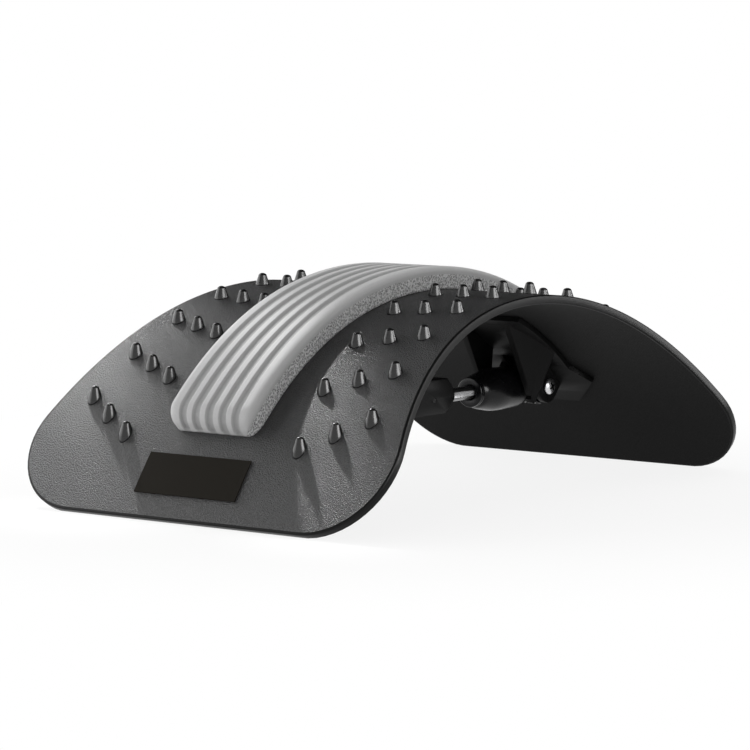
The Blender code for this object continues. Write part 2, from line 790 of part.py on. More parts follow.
def make_bracket_screws(shop, side, leg, body):
    """Make the countersunk screws that hold one bracket under its leg."""
    profile = [
        (0.0, 0.0),
        (SCREW_HEAD_RADIUS, 0.0),
        (SCREW_RADIUS, -SCREW_HEAD_HEIGHT),
        (SCREW_RADIUS, -screw_length() + SCREW_RADIUS / 2),
        (SCREW_RADIUS / 2, -screw_length()),
        (0.0, -screw_length()),
    ]
    for number, (across, along) in enumerate(screw_places(side), 1):
        name = f"{leg}_bracket_screw_{number}"
        frame = arch_frame(across, along, PLATE_THICKNESS / 2 - SCREW_SINK)
        screw = turned(
            shop, name, profile, "steel", body, (0.0, 0.0, 0.0), "Z", SMALL_SIDES, False
        )
        screw.location = frame.to_translation()
        screw.rotation_euler = frame.to_euler()


def make_pivot(shop, side, leg, body, strut_body, play):
    """Make one pivot: its bolt, nut, two washers and the bush in the strut's eye."""
    pivot = pivot_point(side)
    cheek = CHEEK_INNER + CHEEK_THICKNESS
    head = cheek + GAP
    end = -(cheek + GAP + NUT_THICKNESS + BOLT_TIP)
    profile = [(BOLT_HEAD_RADIUS * out, head + BOLT_HEAD_HEIGHT * up) for out, up in BOLT_HEAD_CURVE]
    profile += [(BOLT_RADIUS, head), (BOLT_RADIUS, end), (0.0, end)]
    turned(shop, f"{leg}_pivot_bolt", profile, "steel", body, pivot, "X", ROUND_SIDES, False)
    hole = BOLT_RADIUS + BOLT_HOLE_CLEARANCE
    low = -(cheek + GAP + NUT_THICKNESS)
    name = f"{leg}_pivot_nut"
    add_nut(shop, name, NUT_ACROSS_FLATS, hole, low, -(cheek + GAP), body, pivot, "X")
    inner = CHEEK_INNER - GAP
    for label, low, high in (
        ("right", inner - WASHER_THICKNESS, inner),
        ("left", -inner, WASHER_THICKNESS - inner),
    ):
        washer = tube_profile(WASHER_RADIUS, hole, low, high)
        name = f"{leg}_pivot_washer_{label}"
        turned(shop, name, washer, "steel", body, pivot, "X", ROUND_SIDES, True)
    half = eye_half_width()
    bush = tube_profile(BUSH_RADIUS, BOLT_RADIUS + play, -half, half)
    turned(shop, f"{leg}_bush", bush, "bush", strut_body, pivot, "X", ROUND_SIDES, True)


def make_eye_tools(shop, side, leg):
    """Make the round eye that ends the strut at a pivot, and the drill for its bush."""
    pivot = pivot_point(side)
    half = Vector((eye_half_width(), 0.0, 0.0))
    eye = rod_mesh("eye", EYE_RADIUS, pivot - half, pivot + half, ROUND_SIDES)
    drill = rod_mesh("drill", BUSH_RADIUS + GAP, pivot - half * 2, pivot + half * 2, ROUND_SIDES)
    return shop.add_tool(f"{leg}_eye", eye), shop.add_tool(f"{leg}_eye_drill", drill)


def make_barrel(shop):
    """Make the bulged barrel, open at its near end, with the far eye at its tail."""
    pivot = pivot_point(1)
    swell = BARREL_BULGE_RADIUS - BARREL_MOUTH_RADIUS
    run = BARREL_LENGTH - BARREL_BULGE_AT
    profile = []
    for out, past in BARREL_TAIL_CURVE:
        profile.append((BARREL_TAIL_RADIUS * out, -BARREL_BODY_END - past))
    for lost, way in BARREL_SWELL_CURVE:
        profile.append((BARREL_BULGE_RADIUS - swell * lost, -(BARREL_BULGE_AT + run * way)))
    profile += [(BORE_RADIUS, -BARREL_LENGTH), (BORE_RADIUS, -BORE_END), (0.0, -BORE_END)]
    barrel = turned(
        shop, "strut_barrel", profile, "barrel", "barrel", pivot, "Y", ROUND_SIDES, False
    )
    eye, drill = make_eye_tools(shop, 1, "far")
    shop.combine(barrel, eye, "UNION")
    shop.combine(barrel, drill, "DIFFERENCE")


def make_barrel_fittings(shop):
    """Make the collar, seal and guide in the barrel's mouth."""
    mouth = Vector((0.0, strut_place(BARREL_LENGTH), pivot_point(1).z))
    running = ROD_RADIUS + ROD_CLEARANCE
    inside = BORE_RADIUS - GAP
    face = -(COLLAR_THICKNESS + GAP)
    collar = [
        (inside, COLLAR_SPIGOT),
        (inside, -GAP),
        (COLLAR_RADIUS, -GAP),
        (COLLAR_RADIUS, face + COLLAR_EDGE),
        (COLLAR_RADIUS - COLLAR_EDGE, face),
        (COLLAR_MOUTH_RADIUS, face),
        (running, face + COLLAR_MOUTH_DEPTH),
        (running, COLLAR_SPIGOT),
    ]
    args = ("barrel", mouth, "Y", ROUND_SIDES, True)
    turned(shop, "barrel_collar", collar, "barrel", *args)
    start = COLLAR_SPIGOT + GAP
    seal = tube_profile(inside, running, start, start + SEAL_THICKNESS)
    turned(shop, "rod_seal", seal, "rubber", *args)
    start += SEAL_THICKNESS + GAP
    guide = tube_profile(inside, running, start, start + GUIDE_LENGTH)
    turned(shop, "rod_guide", guide, "bush", *args)


def make_rod(shop, pin_drill):
    """Make the rod, the piston on its stepped end and the nut that holds the piston."""
    pivot = pivot_point(1)
    arm_end = BARREL_LENGTH + GAP + COLLAR_THICKNESS + ROD_SHOWING
    start = -(arm_end + ROD_IN_ARM)
    shoulder = -(PISTON_AT + PISTON_THICKNESS + GAP)
    tip = -(PISTON_AT - PISTON_NUT_THICKNESS - 2 * GAP)
    profile = [
        (0.0, tip),
        (ROD_NECK_RADIUS, tip),
        (ROD_NECK_RADIUS, shoulder),
        (ROD_RADIUS, shoulder),
        (ROD_RADIUS, start + ROD_EDGE),
        (ROD_RADIUS - ROD_EDGE, start),
        (0.0, start),
    ]
    rod = turned(shop, "piston_rod", profile, "steel", "rod", pivot, "Y", ROUND_SIDES, False)
    shop.combine(rod, pin_drill, "DIFFERENCE")
    neck = ROD_NECK_RADIUS + ROD_CLEARANCE
    inside = BORE_RADIUS - GAP
    piston = tube_profile(inside, neck, -(PISTON_AT + PISTON_THICKNESS), -PISTON_AT, PISTON_EDGE)
    turned(shop, "piston", piston, "bush", "rod", pivot, "Y", ROUND_SIDES, True)
    high = -(PISTON_AT - GAP)
    top = high + PISTON_NUT_THICKNESS
    add_nut(shop, "piston_nut", PISTON_NUT_FLATS, neck, high, top, "rod", pivot, "Y")


def arm_head_outline(end, level):
    """Return the YZ outline of the arm's head, blunt-nosed at the rod's side."""
    back = end - HEAD_LENGTH
    return [
        (back, level - HEAD_BOTTOM),
        (end - HEAD_NOSE, level - HEAD_BOTTOM),
        (end, level - HEAD_FACE_BOTTOM),
        (end, level + HEAD_FACE_TOP),
        (end - HEAD_BREAK_BACK, level + HEAD_BREAK_TOP),
        (end - HEAD_NOSE, level + HEAD_TOP),
        (back, level + HEAD_TOP),
    ]


def beam_outline(back, eye, level):
    """Return the YZ outline of the arm's beam, which tapers from the head to the near eye."""
    overlap = HEAD_LENGTH / 4
    return [
        (eye, level - BEAM_HALF_HEIGHT),
        (back - BEAM_TAPER, level - BEAM_HALF_HEIGHT),
        (back, level - HEAD_BOTTOM + HEAD_EDGE),
        (back + overlap, level - HEAD_BOTTOM + HEAD_EDGE),
        (back + overlap, level + HEAD_TOP - HEAD_EDGE),
        (back, level + HEAD_TOP - HEAD_EDGE),
        (back - BEAM_TAPER, level + BEAM_HALF_HEIGHT),
        (eye, level + BEAM_HALF_HEIGHT),
    ]


def flare_cut(shop, end, level):
    """Make the wedges that draw in the lower sides of the arm's head."""
    bm = bmesh.new()
    low = level - HEAD_BOTTOM
    high = level + HEAD_FLARE_LEVEL
    outside = HEAD_HALF_WIDTH * 2
    for mirror in (1, -1):
        section = (
            (mirror * HEAD_HALF_WIDTH, high),
            (mirror * outside, high),
            (mirror * outside, low - HEAD_EDGE),
            (mirror * (HEAD_HALF_WIDTH - HEAD_FLARE_INSET), low - HEAD_EDGE),
        )
        rings = []
        for y in (end - 2 * HEAD_LENGTH, end + HEAD_NOSE):
            rings.append([Vector((x, y, z)) for x, z in section])
        bm.from_mesh(loft_mesh("flare", rings))
    return shop.add_tool("arm_flare_cut", finish_mesh(bm, "arm_flare_cut"))


def pocket_cut(shop, start, end, level):
    """Make the pockets on both sides of the beam, which leave upright ribs between them."""
    bm = bmesh.new()
    pitch = (end - start) / POCKET_COUNT
    half = BEAM_HALF_HEIGHT - POCKET_WALL
    for number in range(POCKET_COUNT):
        low = start + number * pitch + POCKET_RIB / 2
        high = start + (number + 1) * pitch - POCKET_RIB / 2
        for mirror in (1, -1):
            inner = mirror * (BEAM_HALF_WIDTH - POCKET_DEPTH)
            outer = mirror * HEAD_HALF_WIDTH * 2
            corners = sorted((inner, outer))
            first = (corners[0], low, level - half)
            second = (corners[1], high, level + half)
            bm.from_mesh(box_mesh("pocket", first, second))
    return shop.add_tool("arm_pocket_cut", finish_mesh(bm, "arm_pocket_cut"))


def make_arm(shop):
    """Make the arm that holds the rod's end and reaches to the near pivot; return the pin's drill."""
    level = pivot_point(1).z
    end = strut_place(BARREL_LENGTH + GAP + COLLAR_THICKNESS + ROD_SHOWING)
    back = end - HEAD_LENGTH
    eye_y = pivot_point(-1).y
    outline = arm_head_outline(end, level)
    rings = plate_profile(outline, -HEAD_HALF_WIDTH, HEAD_HALF_WIDTH)
    arm = shop.add_part("strut_arm", loft_mesh("strut_arm", rings), "bracket", "rod")
    edge = arm.modifiers.new("edges", "BEVEL")
    edge.width = HEAD_EDGE
    edge.segments = 2
    edge.limit_method = "ANGLE"
    shop.combine(arm, flare_cut(shop, end, level), "DIFFERENCE")
    rings = plate_profile(beam_outline(back, eye_y, level), -BEAM_HALF_WIDTH, BEAM_HALF_WIDTH)
    beam = shop.add_tool("arm_beam", loft_mesh("arm_beam", rings))
    shop.combine(arm, beam, "UNION")
    pockets = pocket_cut(shop, eye_y + EYE_RADIUS + POCKET_RIB, back - BEAM_TAPER, level)
    shop.combine(arm, pockets, "DIFFERENCE")
    eye, drill = make_eye_tools(shop, -1, "near")
    shop.combine(arm, eye, "UNION")
    shop.combine(arm, drill, "DIFFERENCE")
    bottom = (0.0, end - ROD_IN_ARM - GAP, level)
    mouth = (0.0, end + HEAD_NOSE, level)
    bore = rod_mesh("rod_bore", ROD_RADIUS + ROD_CLEARANCE, bottom, mouth, ROUND_SIDES)
    shop.combine(arm, shop.add_tool("arm_rod_bore", bore), "DIFFERENCE")
    pin_y = end - ROD_IN_ARM + PIN_FROM_END
    across = HEAD_HALF_WIDTH * 2
    pin_hole = rod_mesh(
        "pin_drill", PIN_RADIUS + GAP, (-across, pin_y, level), (across, pin_y, level), SMALL_SIDES
    )
    pin_drill = shop.add_tool("pin_drill", pin_hole)
    shop.combine(arm, pin_drill, "DIFFERENCE")
    half = HEAD_HALF_WIDTH - PIN_INSET
    pin = rod_mesh("rod_pin", PIN_RADIUS, (-half, pin_y, level), (half, pin_y, level), SMALL_SIDES)
    shop.add_part("rod_pin", pin, "steel", "rod")
    return pin_drill


def main():
    """Build the whole part."""
    clear_scene()
    shop = Shop()
    drills = {side: screw_holes(shop, side, f"{leg}_screw_drill") for side, leg in LEGS.items()}
    make_plate(shop, drills.values())
    make_pad(shop)
    make_label(shop)
    bodies = {1: "root", -1: "near_leg"}
    for side, leg in LEGS.items():
        make_bracket(shop, side, leg, drills[side], bodies[side])
        make_bracket_screws(shop, side, leg, bodies[side])
    make_pivot(shop, 1, "far", "root", "barrel", BOLT_HOLE_CLEARANCE)
    make_pivot(shop, -1, "near", "near_leg", "rod", NEAR_BUSH_PLAY)
    make_barrel(shop)
    make_barrel_fittings(shop)
    make_rod(shop, make_arm(shop))


main()
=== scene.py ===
"""Dresses a packed back stretcher: the springy sheet, the foam pad and the strut under them.

Sizes are in metres. X runs across the sheet, Y along it and Z up. A piece that follows the sheet
is first made flat, as (across, along, lift), and then bent over the arch.
"""

import json
import math

import bmesh
import bpy
from bpy.props import FloatProperty, FloatVectorProperty, IntProperty, PointerProperty
from mathutils import Matrix, Vector


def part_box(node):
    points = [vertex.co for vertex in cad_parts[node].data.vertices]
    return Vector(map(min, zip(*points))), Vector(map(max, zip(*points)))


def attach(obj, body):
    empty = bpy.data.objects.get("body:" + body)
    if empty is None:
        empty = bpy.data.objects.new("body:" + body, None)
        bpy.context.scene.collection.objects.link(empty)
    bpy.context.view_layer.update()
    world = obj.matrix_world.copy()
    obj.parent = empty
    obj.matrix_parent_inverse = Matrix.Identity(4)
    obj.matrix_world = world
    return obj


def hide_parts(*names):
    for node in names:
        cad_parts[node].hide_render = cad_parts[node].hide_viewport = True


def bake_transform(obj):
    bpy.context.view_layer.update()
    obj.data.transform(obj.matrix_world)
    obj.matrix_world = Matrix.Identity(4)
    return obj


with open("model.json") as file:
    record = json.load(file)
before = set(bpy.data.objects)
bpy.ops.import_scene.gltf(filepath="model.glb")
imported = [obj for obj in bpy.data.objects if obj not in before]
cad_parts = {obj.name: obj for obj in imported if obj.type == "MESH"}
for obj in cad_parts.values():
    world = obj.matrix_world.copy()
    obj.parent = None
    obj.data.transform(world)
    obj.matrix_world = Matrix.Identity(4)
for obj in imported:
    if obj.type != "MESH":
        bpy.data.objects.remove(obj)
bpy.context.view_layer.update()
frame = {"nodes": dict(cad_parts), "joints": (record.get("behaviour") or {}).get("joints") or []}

bl_info = {
    "name": "Back stretcher finish",
    "version": (1, 0, 0),
    "blender": (4, 5, 0),
    "location": "3D View > Sidebar > Stretcher",
    "description": "Builds the visible pieces of a back stretcher around its packed solids",
    "category": "Object",
}

CLEARANCE = 0.0003
SAME_PLACE = 0.0000001
BOLT_HOLE = 0.0033
FAR = 1
NEAR = -1
LEGS = {FAR: "far", NEAR: "near"}
LEG_BODIES = {FAR: "frame", NEAR: "near_leg"}
PLATED = ("plated_steel", 1.0)
# Near-black steel for the rod's pin, and as painted shade in the bolts' cross recesses.
NEAR_BLACK_AND_RECESS_SHADE = ("near_black_steel_and_recess_shade", 0.05)


def length(name, description, default):
    """Describe a length that a user can change."""
    return FloatProperty(
        name=name, description=description, default=default, min=0.0, unit="LENGTH", precision=4
    )


def colour(name, description, default):
    """Describe a colour that a user can change."""
    return FloatVectorProperty(
        name=name, description=description, default=default, size=4, subtype="COLOR", min=0.0, max=1.0
    )


def share(name, description, default):
    """Describe a value from nought to one that a user can change."""
    return FloatProperty(
        name=name, description=description, default=default, min=0.0, max=1.0, subtype="FACTOR"
    )


def lamp_power(name, description, default):
    """Describe a lamp's power that a user can change."""
    return FloatProperty(name=name, description=description, default=default, min=0.0, unit="POWER")


class SheetSettings(bpy.types.PropertyGroup):
    """Sizes and colours of the springy sheet and its nubs."""

    thickness: length("Thickness", "Thickness of the sheet", 0.005)
    half_length: length("Half-length", "Length along the sheet from the crown to an end", 0.234)
    half_width: length("Half-width", "Half-width at the broad ends", 0.127)
    waist_half_width: length("Waist half-width", "Half-width at the crown", 0.101)
    corner_radius: length("Corner radius", "Radius of the sheet's four corners", 0.045)
    crown_radius: length("Crown radius", "Bend of the sheet over the crown", 0.2325)
    crown_arc: length("Crown arc", "Length of the crown's bend on each side", 0.057)
    shoulder_radius: length("Shoulder radius", "Bend of the sheet below the crown", 0.2045)
    foot_radius: length("Foot radius", "Bend of the sheet at its ends", 0.530)
    foot_arc: length("Foot arc", "Length of each end's bend", 0.038)
    edge_rounding: length("Edge rounding", "Rounding of the sheet's rim", 0.0009)
    nub_height: length("Nub height", "Height of a nub above the sheet", 0.0068)
    nub_base: length("Nub base radius", "Radius of a nub where it leaves the sheet", 0.0042)
    nub_tip: length("Nub tip radius", "Radius of a nub at its tip", 0.0025)
    grain: length("Grain", "Size of the pebble grain", 0.0008)
    top: colour("Top", "Colour of the grained top", (0.024, 0.024, 0.0245, 1.0))
    # The underside colour, also used on the rim, is about a third of the top's though the sheet is one
    # plastic: painted shade.
    under: colour("Underside", "Colour of the underside", (0.007, 0.007, 0.007, 1.0))
    nub: colour("Nubs", "Colour of the nubs", (0.012, 0.012, 0.012, 1.0))


class PadSettings(bpy.types.PropertyGroup):
    """Sizes and colours of the foam pad."""

    half_length: length("Half-length", "Length along the pad from the crown to an end", 0.1795)
    half_width: length("Half-width", "Half of the pad's width", 0.0297)
    height: length("Height", "Height of the pad's ridges above the sheet", 0.0130)
    side_height: length("Side height", "Height of the pad's cut sides", 0.0098)
    end_height: length("End height", "Height of the pad's ends at the sheet", 0.0020)
    end_rounding: length("End rounding", "Radius of the pad's round ends", 0.0110)
    corner_rounding: length("Corner rounding", "How far the pad's corners draw in at its ends", 0.0060)
    grooves: IntProperty(name="Grooves", description="Number of grooves along the pad", default=5)
    groove_pitch: length("Groove pitch", "Distance from groove to groove", 0.00935)
    groove_depth: length("Groove depth", "Depth of a groove", 0.0015)
    groove_width: length("Groove width", "Width of a groove between its ridges", 0.0060)
    shoulder: length("Shoulder", "Width of the round outer edges", 0.0052)
    skin: colour("Skin", "Colour of the smooth top", (0.56, 0.56, 0.56, 1.0))
    cut: colour("Cut foam", "Colour of the coarse sides", (0.47, 0.47, 0.47, 1.0))


class StrutSettings(bpy.types.PropertyGroup):
    """Sizes and colours of the strut, its pivots and its brackets."""

    barrel_length: length("Barrel length", "Far pivot to the barrel's mouth", 0.055)
    mouth_radius: length("Mouth radius", "Radius of the barrel's mouth", 0.0092)
    bulge_radius: length("Bulge radius", "Largest radius of the barrel", 0.0130)
    bulge_at: length("Bulge place", "Far pivot to the barrel's thickest place", 0.034)
    tail_radius: length("Tail radius", "Radius of the barrel's tail", 0.0124)
    tail_end: length("Tail end", "Far pivot to the end of the barrel's body", 0.008)
    bore_radius: length("Bore radius", "Radius of the barrel's bore", 0.0080)
    bore_end: length("Bore end", "Far pivot to the bottom of the bore", 0.0125)
    eye_radius: length("Eye radius", "Radius of the eye round each pivot", 0.0112)
    edge_rounding: length("Edge rounding", "Rounding of the moulded edges", 0.0008)
    bolt_radius: length("Bolt radius", "Radius of a pivot bolt", 0.0030)
    head_radius: length("Head radius", "Radius of a bolt's head", 0.0050)
    head_height: length("Head height", "Height of a bolt's head", 0.0030)
    moulding: colour("Moulding", "Colour of the brackets and the arm", (0.009, 0.009, 0.009, 1.0))
    gloss: colour("Gloss", "Colour of the barrel", (0.008, 0.008, 0.009, 1.0))
    steel: colour("Steel", "Colour of the rod and the bolts", (0.72, 0.72, 0.73, 1.0))


class StageSettings(bpy.types.PropertyGroup):
    """The camera, the lights and the floor."""

    yaw: FloatProperty(
        name="Yaw", description="Camera's turn from +Y", default=math.radians(37.2823), subtype="ANGLE"
    )
    pitch: FloatProperty(
        name="Pitch", description="Camera's tilt down", default=math.radians(5.67324), subtype="ANGLE"
    )
    place: FloatVectorProperty(
        name="Camera place",
        description="Where the camera stands",
        default=(1.20587, -1.60183, 0.26485),
        subtype="TRANSLATION",
        unit="LENGTH",
    )
    lens: FloatProperty(
        name="Lens", description="Focal length on a 36 mm sensor", default=166.75, unit="CAMERA"
    )
    left: lamp_power("Left", "Power of the big softbox at the left", 5.8)
    side: lamp_power("Side", "Power of the softbox at the right", 27.0)
    rim: lamp_power("Rim", "Power of the softbox behind at the right", 8.0)
    top: lamp_power("Top", "Power of the softbox overhead", 2.6)
    foot: lamp_power("Foot", "Power of each spot on the foot", 58.0)
    slope: lamp_power("Slope", "Power of the spot on the left slope", 12.0)
    fill: share("Fill", "Strength of the light from all round", 0.4)
    floor: colour("Floor", "Colour of the floor", (0.86, 0.86, 0.86, 1.0))


class Value:
    """A shader socket. Sums written with it add Math nodes."""

    def __init__(self, finish, socket):
        self.finish = finish
        self.socket = socket

    def __add__(self, other):
        return self.finish.maths("ADD", self, other)

    def __mul__(self, other):
        return self.finish.maths("MULTIPLY", self, other)

    def __sub__(self, other):
        return self.finish.maths("SUBTRACT", self, other)

    def __rsub__(self, other):
        return self.finish.maths("SUBTRACT", other, self)

    __radd__ = __add__
    __rmul__ = __mul__


class Finish:
    """Builds the nodes of one material or world."""

    def __init__(self, owner):
        if isinstance(owner, str):
            owner = bpy.data.materials.new(owner)
        owner.use_nodes = True
        self.owner = owner
        self.tree = owner.node_tree

    def feed(self, socket, value):
        """Link a value to a socket, or set the socket to a number or colour."""
        if isinstance(value, Value):
            self.tree.links.new(value.socket, socket)
        else:
            socket.default_value = value

    def add(self, kind, settings=None, inputs=None, output=0):
        """Add a node, set it up, feed its sockets and return one of its outputs."""
        node = self.tree.nodes.new(kind)
        for name, value in (settings or {}).items():
            setattr(node, name, value)
        for name, value in (inputs or {}).items():
            self.feed(node.inputs[name], value)
        return Value(self, node.outputs[output])

    def maths(self, operation, *values):
        """Add a Math node."""
        return self.add("ShaderNodeMath", {"operation": operation}, dict(enumerate(values)))

    def mix(self, share_of_second, first, second):
        """Mix two colours, which go into the node's sockets 6 and 7."""
        inputs = {0: share_of_second, 6: first, 7: second}
        return self.add("ShaderNodeMix", {"data_type": "RGBA"}, inputs, 2)

    def shades(self, share_of_light, value, dark, light):
        """Mix a darker and a lighter shade of one colour."""
        return self.mix(share_of_light, scaled(value, dark), scaled(value, light))

    def ramp(self, value, start, end, low=0.0, high=1.0):
        """Go smoothly from low to high while a value goes from start to end."""
        inputs = {"Value": value, "From Min": start, "From Max": end, "To Min": low, "To Max": high}
        return self.add("ShaderNodeMapRange", {"interpolation_type": "SMOOTHSTEP"}, inputs)

    def part(self, vector, axis):
        """Return one part of a vector."""
        return self.add("ShaderNodeSeparateXYZ", inputs={0: vector}, output=axis)

    def either_ray(self, *kinds):
        """Return one for a ray of any of these kinds, otherwise nought."""
        rays = [self.add("ShaderNodeLightPath", output=kind) for kind in kinds]
        seen = rays[0]
        for ray in rays[1:]:
            seen = self.maths("MAXIMUM", seen, ray)
        return seen

    def place(self):
        """Return where a point is on the object, in metres."""
        return self.add("ShaderNodeTexCoord", output="Object")

    def plan(self):
        """Return where a point is on the flat sheet, in metres."""
        return self.add("ShaderNodeUVMap", {"uv_map": "plan"})

    def noise(self, where, grain, detail=2.0, roughness=0.5):
        """Return noise whose lumps are about one grain across."""
        inputs = {"Vector": where, "Scale": 1 / grain, "Detail": detail, "Roughness": roughness}
        return self.add("ShaderNodeTexNoise", inputs=inputs)

    def cells(self, where, grain):
        """Return the distance to the middle of the nearest of many scattered cells."""
        inputs = {"Vector": where, "Scale": 1 / grain}
        return self.add("ShaderNodeTexVoronoi", inputs=inputs, output="Distance")

    def bump(self, height, depth, strength):
        """Return a normal bent by a height from nought to one that stands for a depth in metres."""
        inputs = {"Height": height, "Distance": depth, "Strength": strength}
        return self.add("ShaderNodeBump", inputs=inputs)

    def surface(self, **inputs):
        """Feed the Principled shader, with underscores for the spaces in its socket names."""
        shader = self.tree.nodes["Principled BSDF"]
        for name, value in inputs.items():
            self.feed(shader.inputs[name.replace("_", " ")], value)
        return self.owner


def scaled(value, factor):
    """Return a colour made lighter or darker."""
    return (*[channel * factor for channel in value[:3]], 1.0)


def grained_sheet_top(sheet):
    """Moulded plastic with a pebble grain that catches the light, plus painted glints and shade."""
    finish = Finish("grained_sheet_top")
    where = finish.place()
    pebbles = finish.cells(where, sheet.grain)
    lumps = finish.noise(where, sheet.grain * 0.8, 3.0, 0.7)
    patches = finish.noise(where, sheet.grain * 14, 3.0)
    raised_pebbles_and_painted_glints = finish.ramp(pebbles * 0.4 + lumps * 0.6, 0.32, 0.62)
    # Painted glints and shade: the colour runs from a tenth of the top's in the grain's hollows to 2.2
    # times it on its raised pebbles.
    base = finish.shades(raised_pebbles_and_painted_glints, sheet.top, 0.1, 2.2)
    return finish.surface(
        Base_Color=finish.mix(patches * 0.35, base, scaled(sheet.top, 0.8)),
        Roughness=0.46 - 0.10 * raised_pebbles_and_painted_glints,
        Normal=finish.bump(raised_pebbles_and_painted_glints, 0.00026, 1.0),
    )


def plain_sheet_rim(sheet):
    """Trimmed edge of the sheet: smoother than its faces, with fine drag lines, dark with painted
    shade.
    """
    finish = Finish("plain_sheet_rim")
    where = finish.place()
    lines = finish.noise(where, 0.0006, 4.0)
    patches = finish.noise(where, 0.02)
    return finish.surface(
        # The rim takes the underside's darker colour: painted shade.
        Base_Color=finish.shades(patches, sheet.under, 0.8, 1.6),
        Roughness=0.26 + 0.14 * lines,
        Specular_IOR_Level=0.11,
        Normal=finish.bump(lines, 0.00005, 0.5),
    )


def grid_sheet_underside(sheet):
    """Underside with a fine square grid, made nearly black by painted shade."""
    finish = Finish("grid_sheet_underside")
    plan = finish.plan()
    pitch = sheet.grain * 2.4
    turns = 2 * math.pi / pitch
    across = finish.maths("SINE", finish.part(plan, "X") * turns)
    along = finish.maths("SINE", finish.part(plan, "Y") * turns)
    grid = across * along * 0.5 + 0.5
    fuzz = finish.noise(finish.place(), sheet.grain * 0.8, 3.0)
    tone = grid * 0.45 + fuzz * 0.55
    return finish.surface(
        # The underside's darker colour is painted shade.
        Base_Color=finish.shades(tone, sheet.under, 0.55, 1.5),
        Roughness=0.62 + 0.15 * fuzz,
        Specular_IOR_Level=0.12,
        Normal=finish.bump(tone, 0.0002, 0.7),
    )


def glossy_nub(sheet):
    """Polished moulded plastic with faint ripples."""
    finish = Finish("glossy_nub")
    where = finish.place()
    ripples = finish.noise(where, 0.0025)
    specks = finish.noise(where, 0.0005)
    return finish.surface(
        Base_Color=finish.shades(specks, sheet.nub, 0.7, 1.3),
        Roughness=0.18 + 0.12 * ripples,
        Normal=finish.bump(ripples, 0.00006, 0.4),
    )


def foam_skin(pad):
    """Smooth moulded skin of the pad, with a very fine suede grain, and painted shade in its grooves.
    """
    finish = Finish("foam_skin")
    where = finish.place()
    suede = finish.noise(where, 0.0006, 3.0)
    clouds = finish.noise(where, 0.018)
    tone = suede * 0.55 + clouds * 0.45
    # Find each groove across the plan, for the painted shade on the groove floors.
    step = finish.maths("ABSOLUTE", finish.part(finish.plan(), "X") * (1 / pad.groove_pitch))
    groove = finish.maths("MINIMUM", finish.maths("ROUND", step), outermost_groove(pad))
    unshaded_ridge = finish.ramp(finish.maths("ABSOLUTE", step - groove), 0.14, 0.36)
    skin = finish.shades(tone, pad.skin, 0.86, 1.14)
    return finish.surface(
        # Painted shade: the groove floors take three quarters of the skin's colour.
        Base_Color=finish.mix(unshaded_ridge, scaled(pad.skin, 0.74), skin),
        Roughness=0.72 + 0.12 * suede,
        Specular_IOR_Level=0.3,
        Normal=finish.bump(suede, 0.00008, 0.5),
    )


def cut_foam(pad):
    """Coarse open cells where the pad was cut from its block."""
    finish = Finish("cut_foam")
    where = finish.place()
    cells = finish.cells(where, 0.0012)
    crumbs = finish.noise(where, 0.0009, 4.0, 0.7)
    pits = finish.ramp(crumbs * 0.75 + cells * 0.35, 0.38, 0.68)
    return finish.surface(
        Base_Color=finish.shades(pits, pad.cut, 0.45, 1.8),
        Roughness=0.92,
        Normal=finish.bump(pits, 0.0003, 0.9),
    )


def label_film():
    """Bare satin film, brown-black."""
    finish = Finish("label_film")
    where = finish.place()
    weave = finish.noise(where, 0.0007, 3.0)
    clouds = finish.noise(where, 0.012)
    base = finish.mix(weave, (0.0095, 0.0078, 0.0052, 1.0), (0.016, 0.0135, 0.0095, 1.0))
    return finish.surface(
        Base_Color=finish.mix(clouds * 0.3, base, (0.009, 0.0075, 0.005, 1.0)),
        Roughness=0.6 + 0.1 * weave,
        Specular_IOR_Level=0.07,
        Normal=finish.bump(weave, 0.00004, 0.5),
    )


def satin_moulding(strut):
    """Satin moulded plastic of the brackets and the arm."""
    finish = Finish("satin_moulding")
    where = finish.place()
    grain = finish.noise(where, 0.0007, 3.0)
    flow = finish.noise(where, 0.014)
    tone = grain * 0.5 + flow * 0.5
    return finish.surface(
        Base_Color=finish.shades(tone, strut.moulding, 0.7, 1.4),
        Roughness=0.34 + 0.18 * grain,
        Specular_IOR_Level=0.08,
        Normal=finish.bump(grain, 0.00006, 0.6),
    )


def gloss_moulding(strut):
    """Gloss black of the barrel and its collar."""
    finish = Finish("gloss_moulding")
    where = finish.place()
    orange_peel = finish.noise(where, 0.003)
    smears = finish.noise(where, 0.011, 3.0)
    return finish.surface(
        Base_Color=finish.shades(smears, strut.gloss, 0.8, 1.3),
        Roughness=0.16 + 0.14 * smears,
        Specular_IOR_Level=0.18,
        Normal=finish.bump(orange_peel, 0.00003, 0.3),
    )


def polished_steel(strut):
    """Ground and polished rod, with fine rings round it, its steel darkened by painted shade."""
    finish = Finish("polished_steel")
    where = finish.place()
    rings_a_metre = 4000.0
    inputs = {"W": finish.part(where, "Y"), "Scale": rings_a_metre, "Detail": 2.0}
    rings = finish.add("ShaderNodeTexNoise", {"noise_dimensions": "1D"}, inputs)
    smears = finish.noise(where, 0.006)
    return finish.surface(
        # Painted shade: the rod takes only 0.22 to 0.32 of the steel colour, which the bolts take
        # nearly whole.
        Base_Color=finish.shades(smears, strut.steel, 0.22, 0.32),
        Metallic=1.0,
        Roughness=0.24 + 0.12 * rings,
        Normal=finish.bump(rings, 0.000004, 0.4),
    )


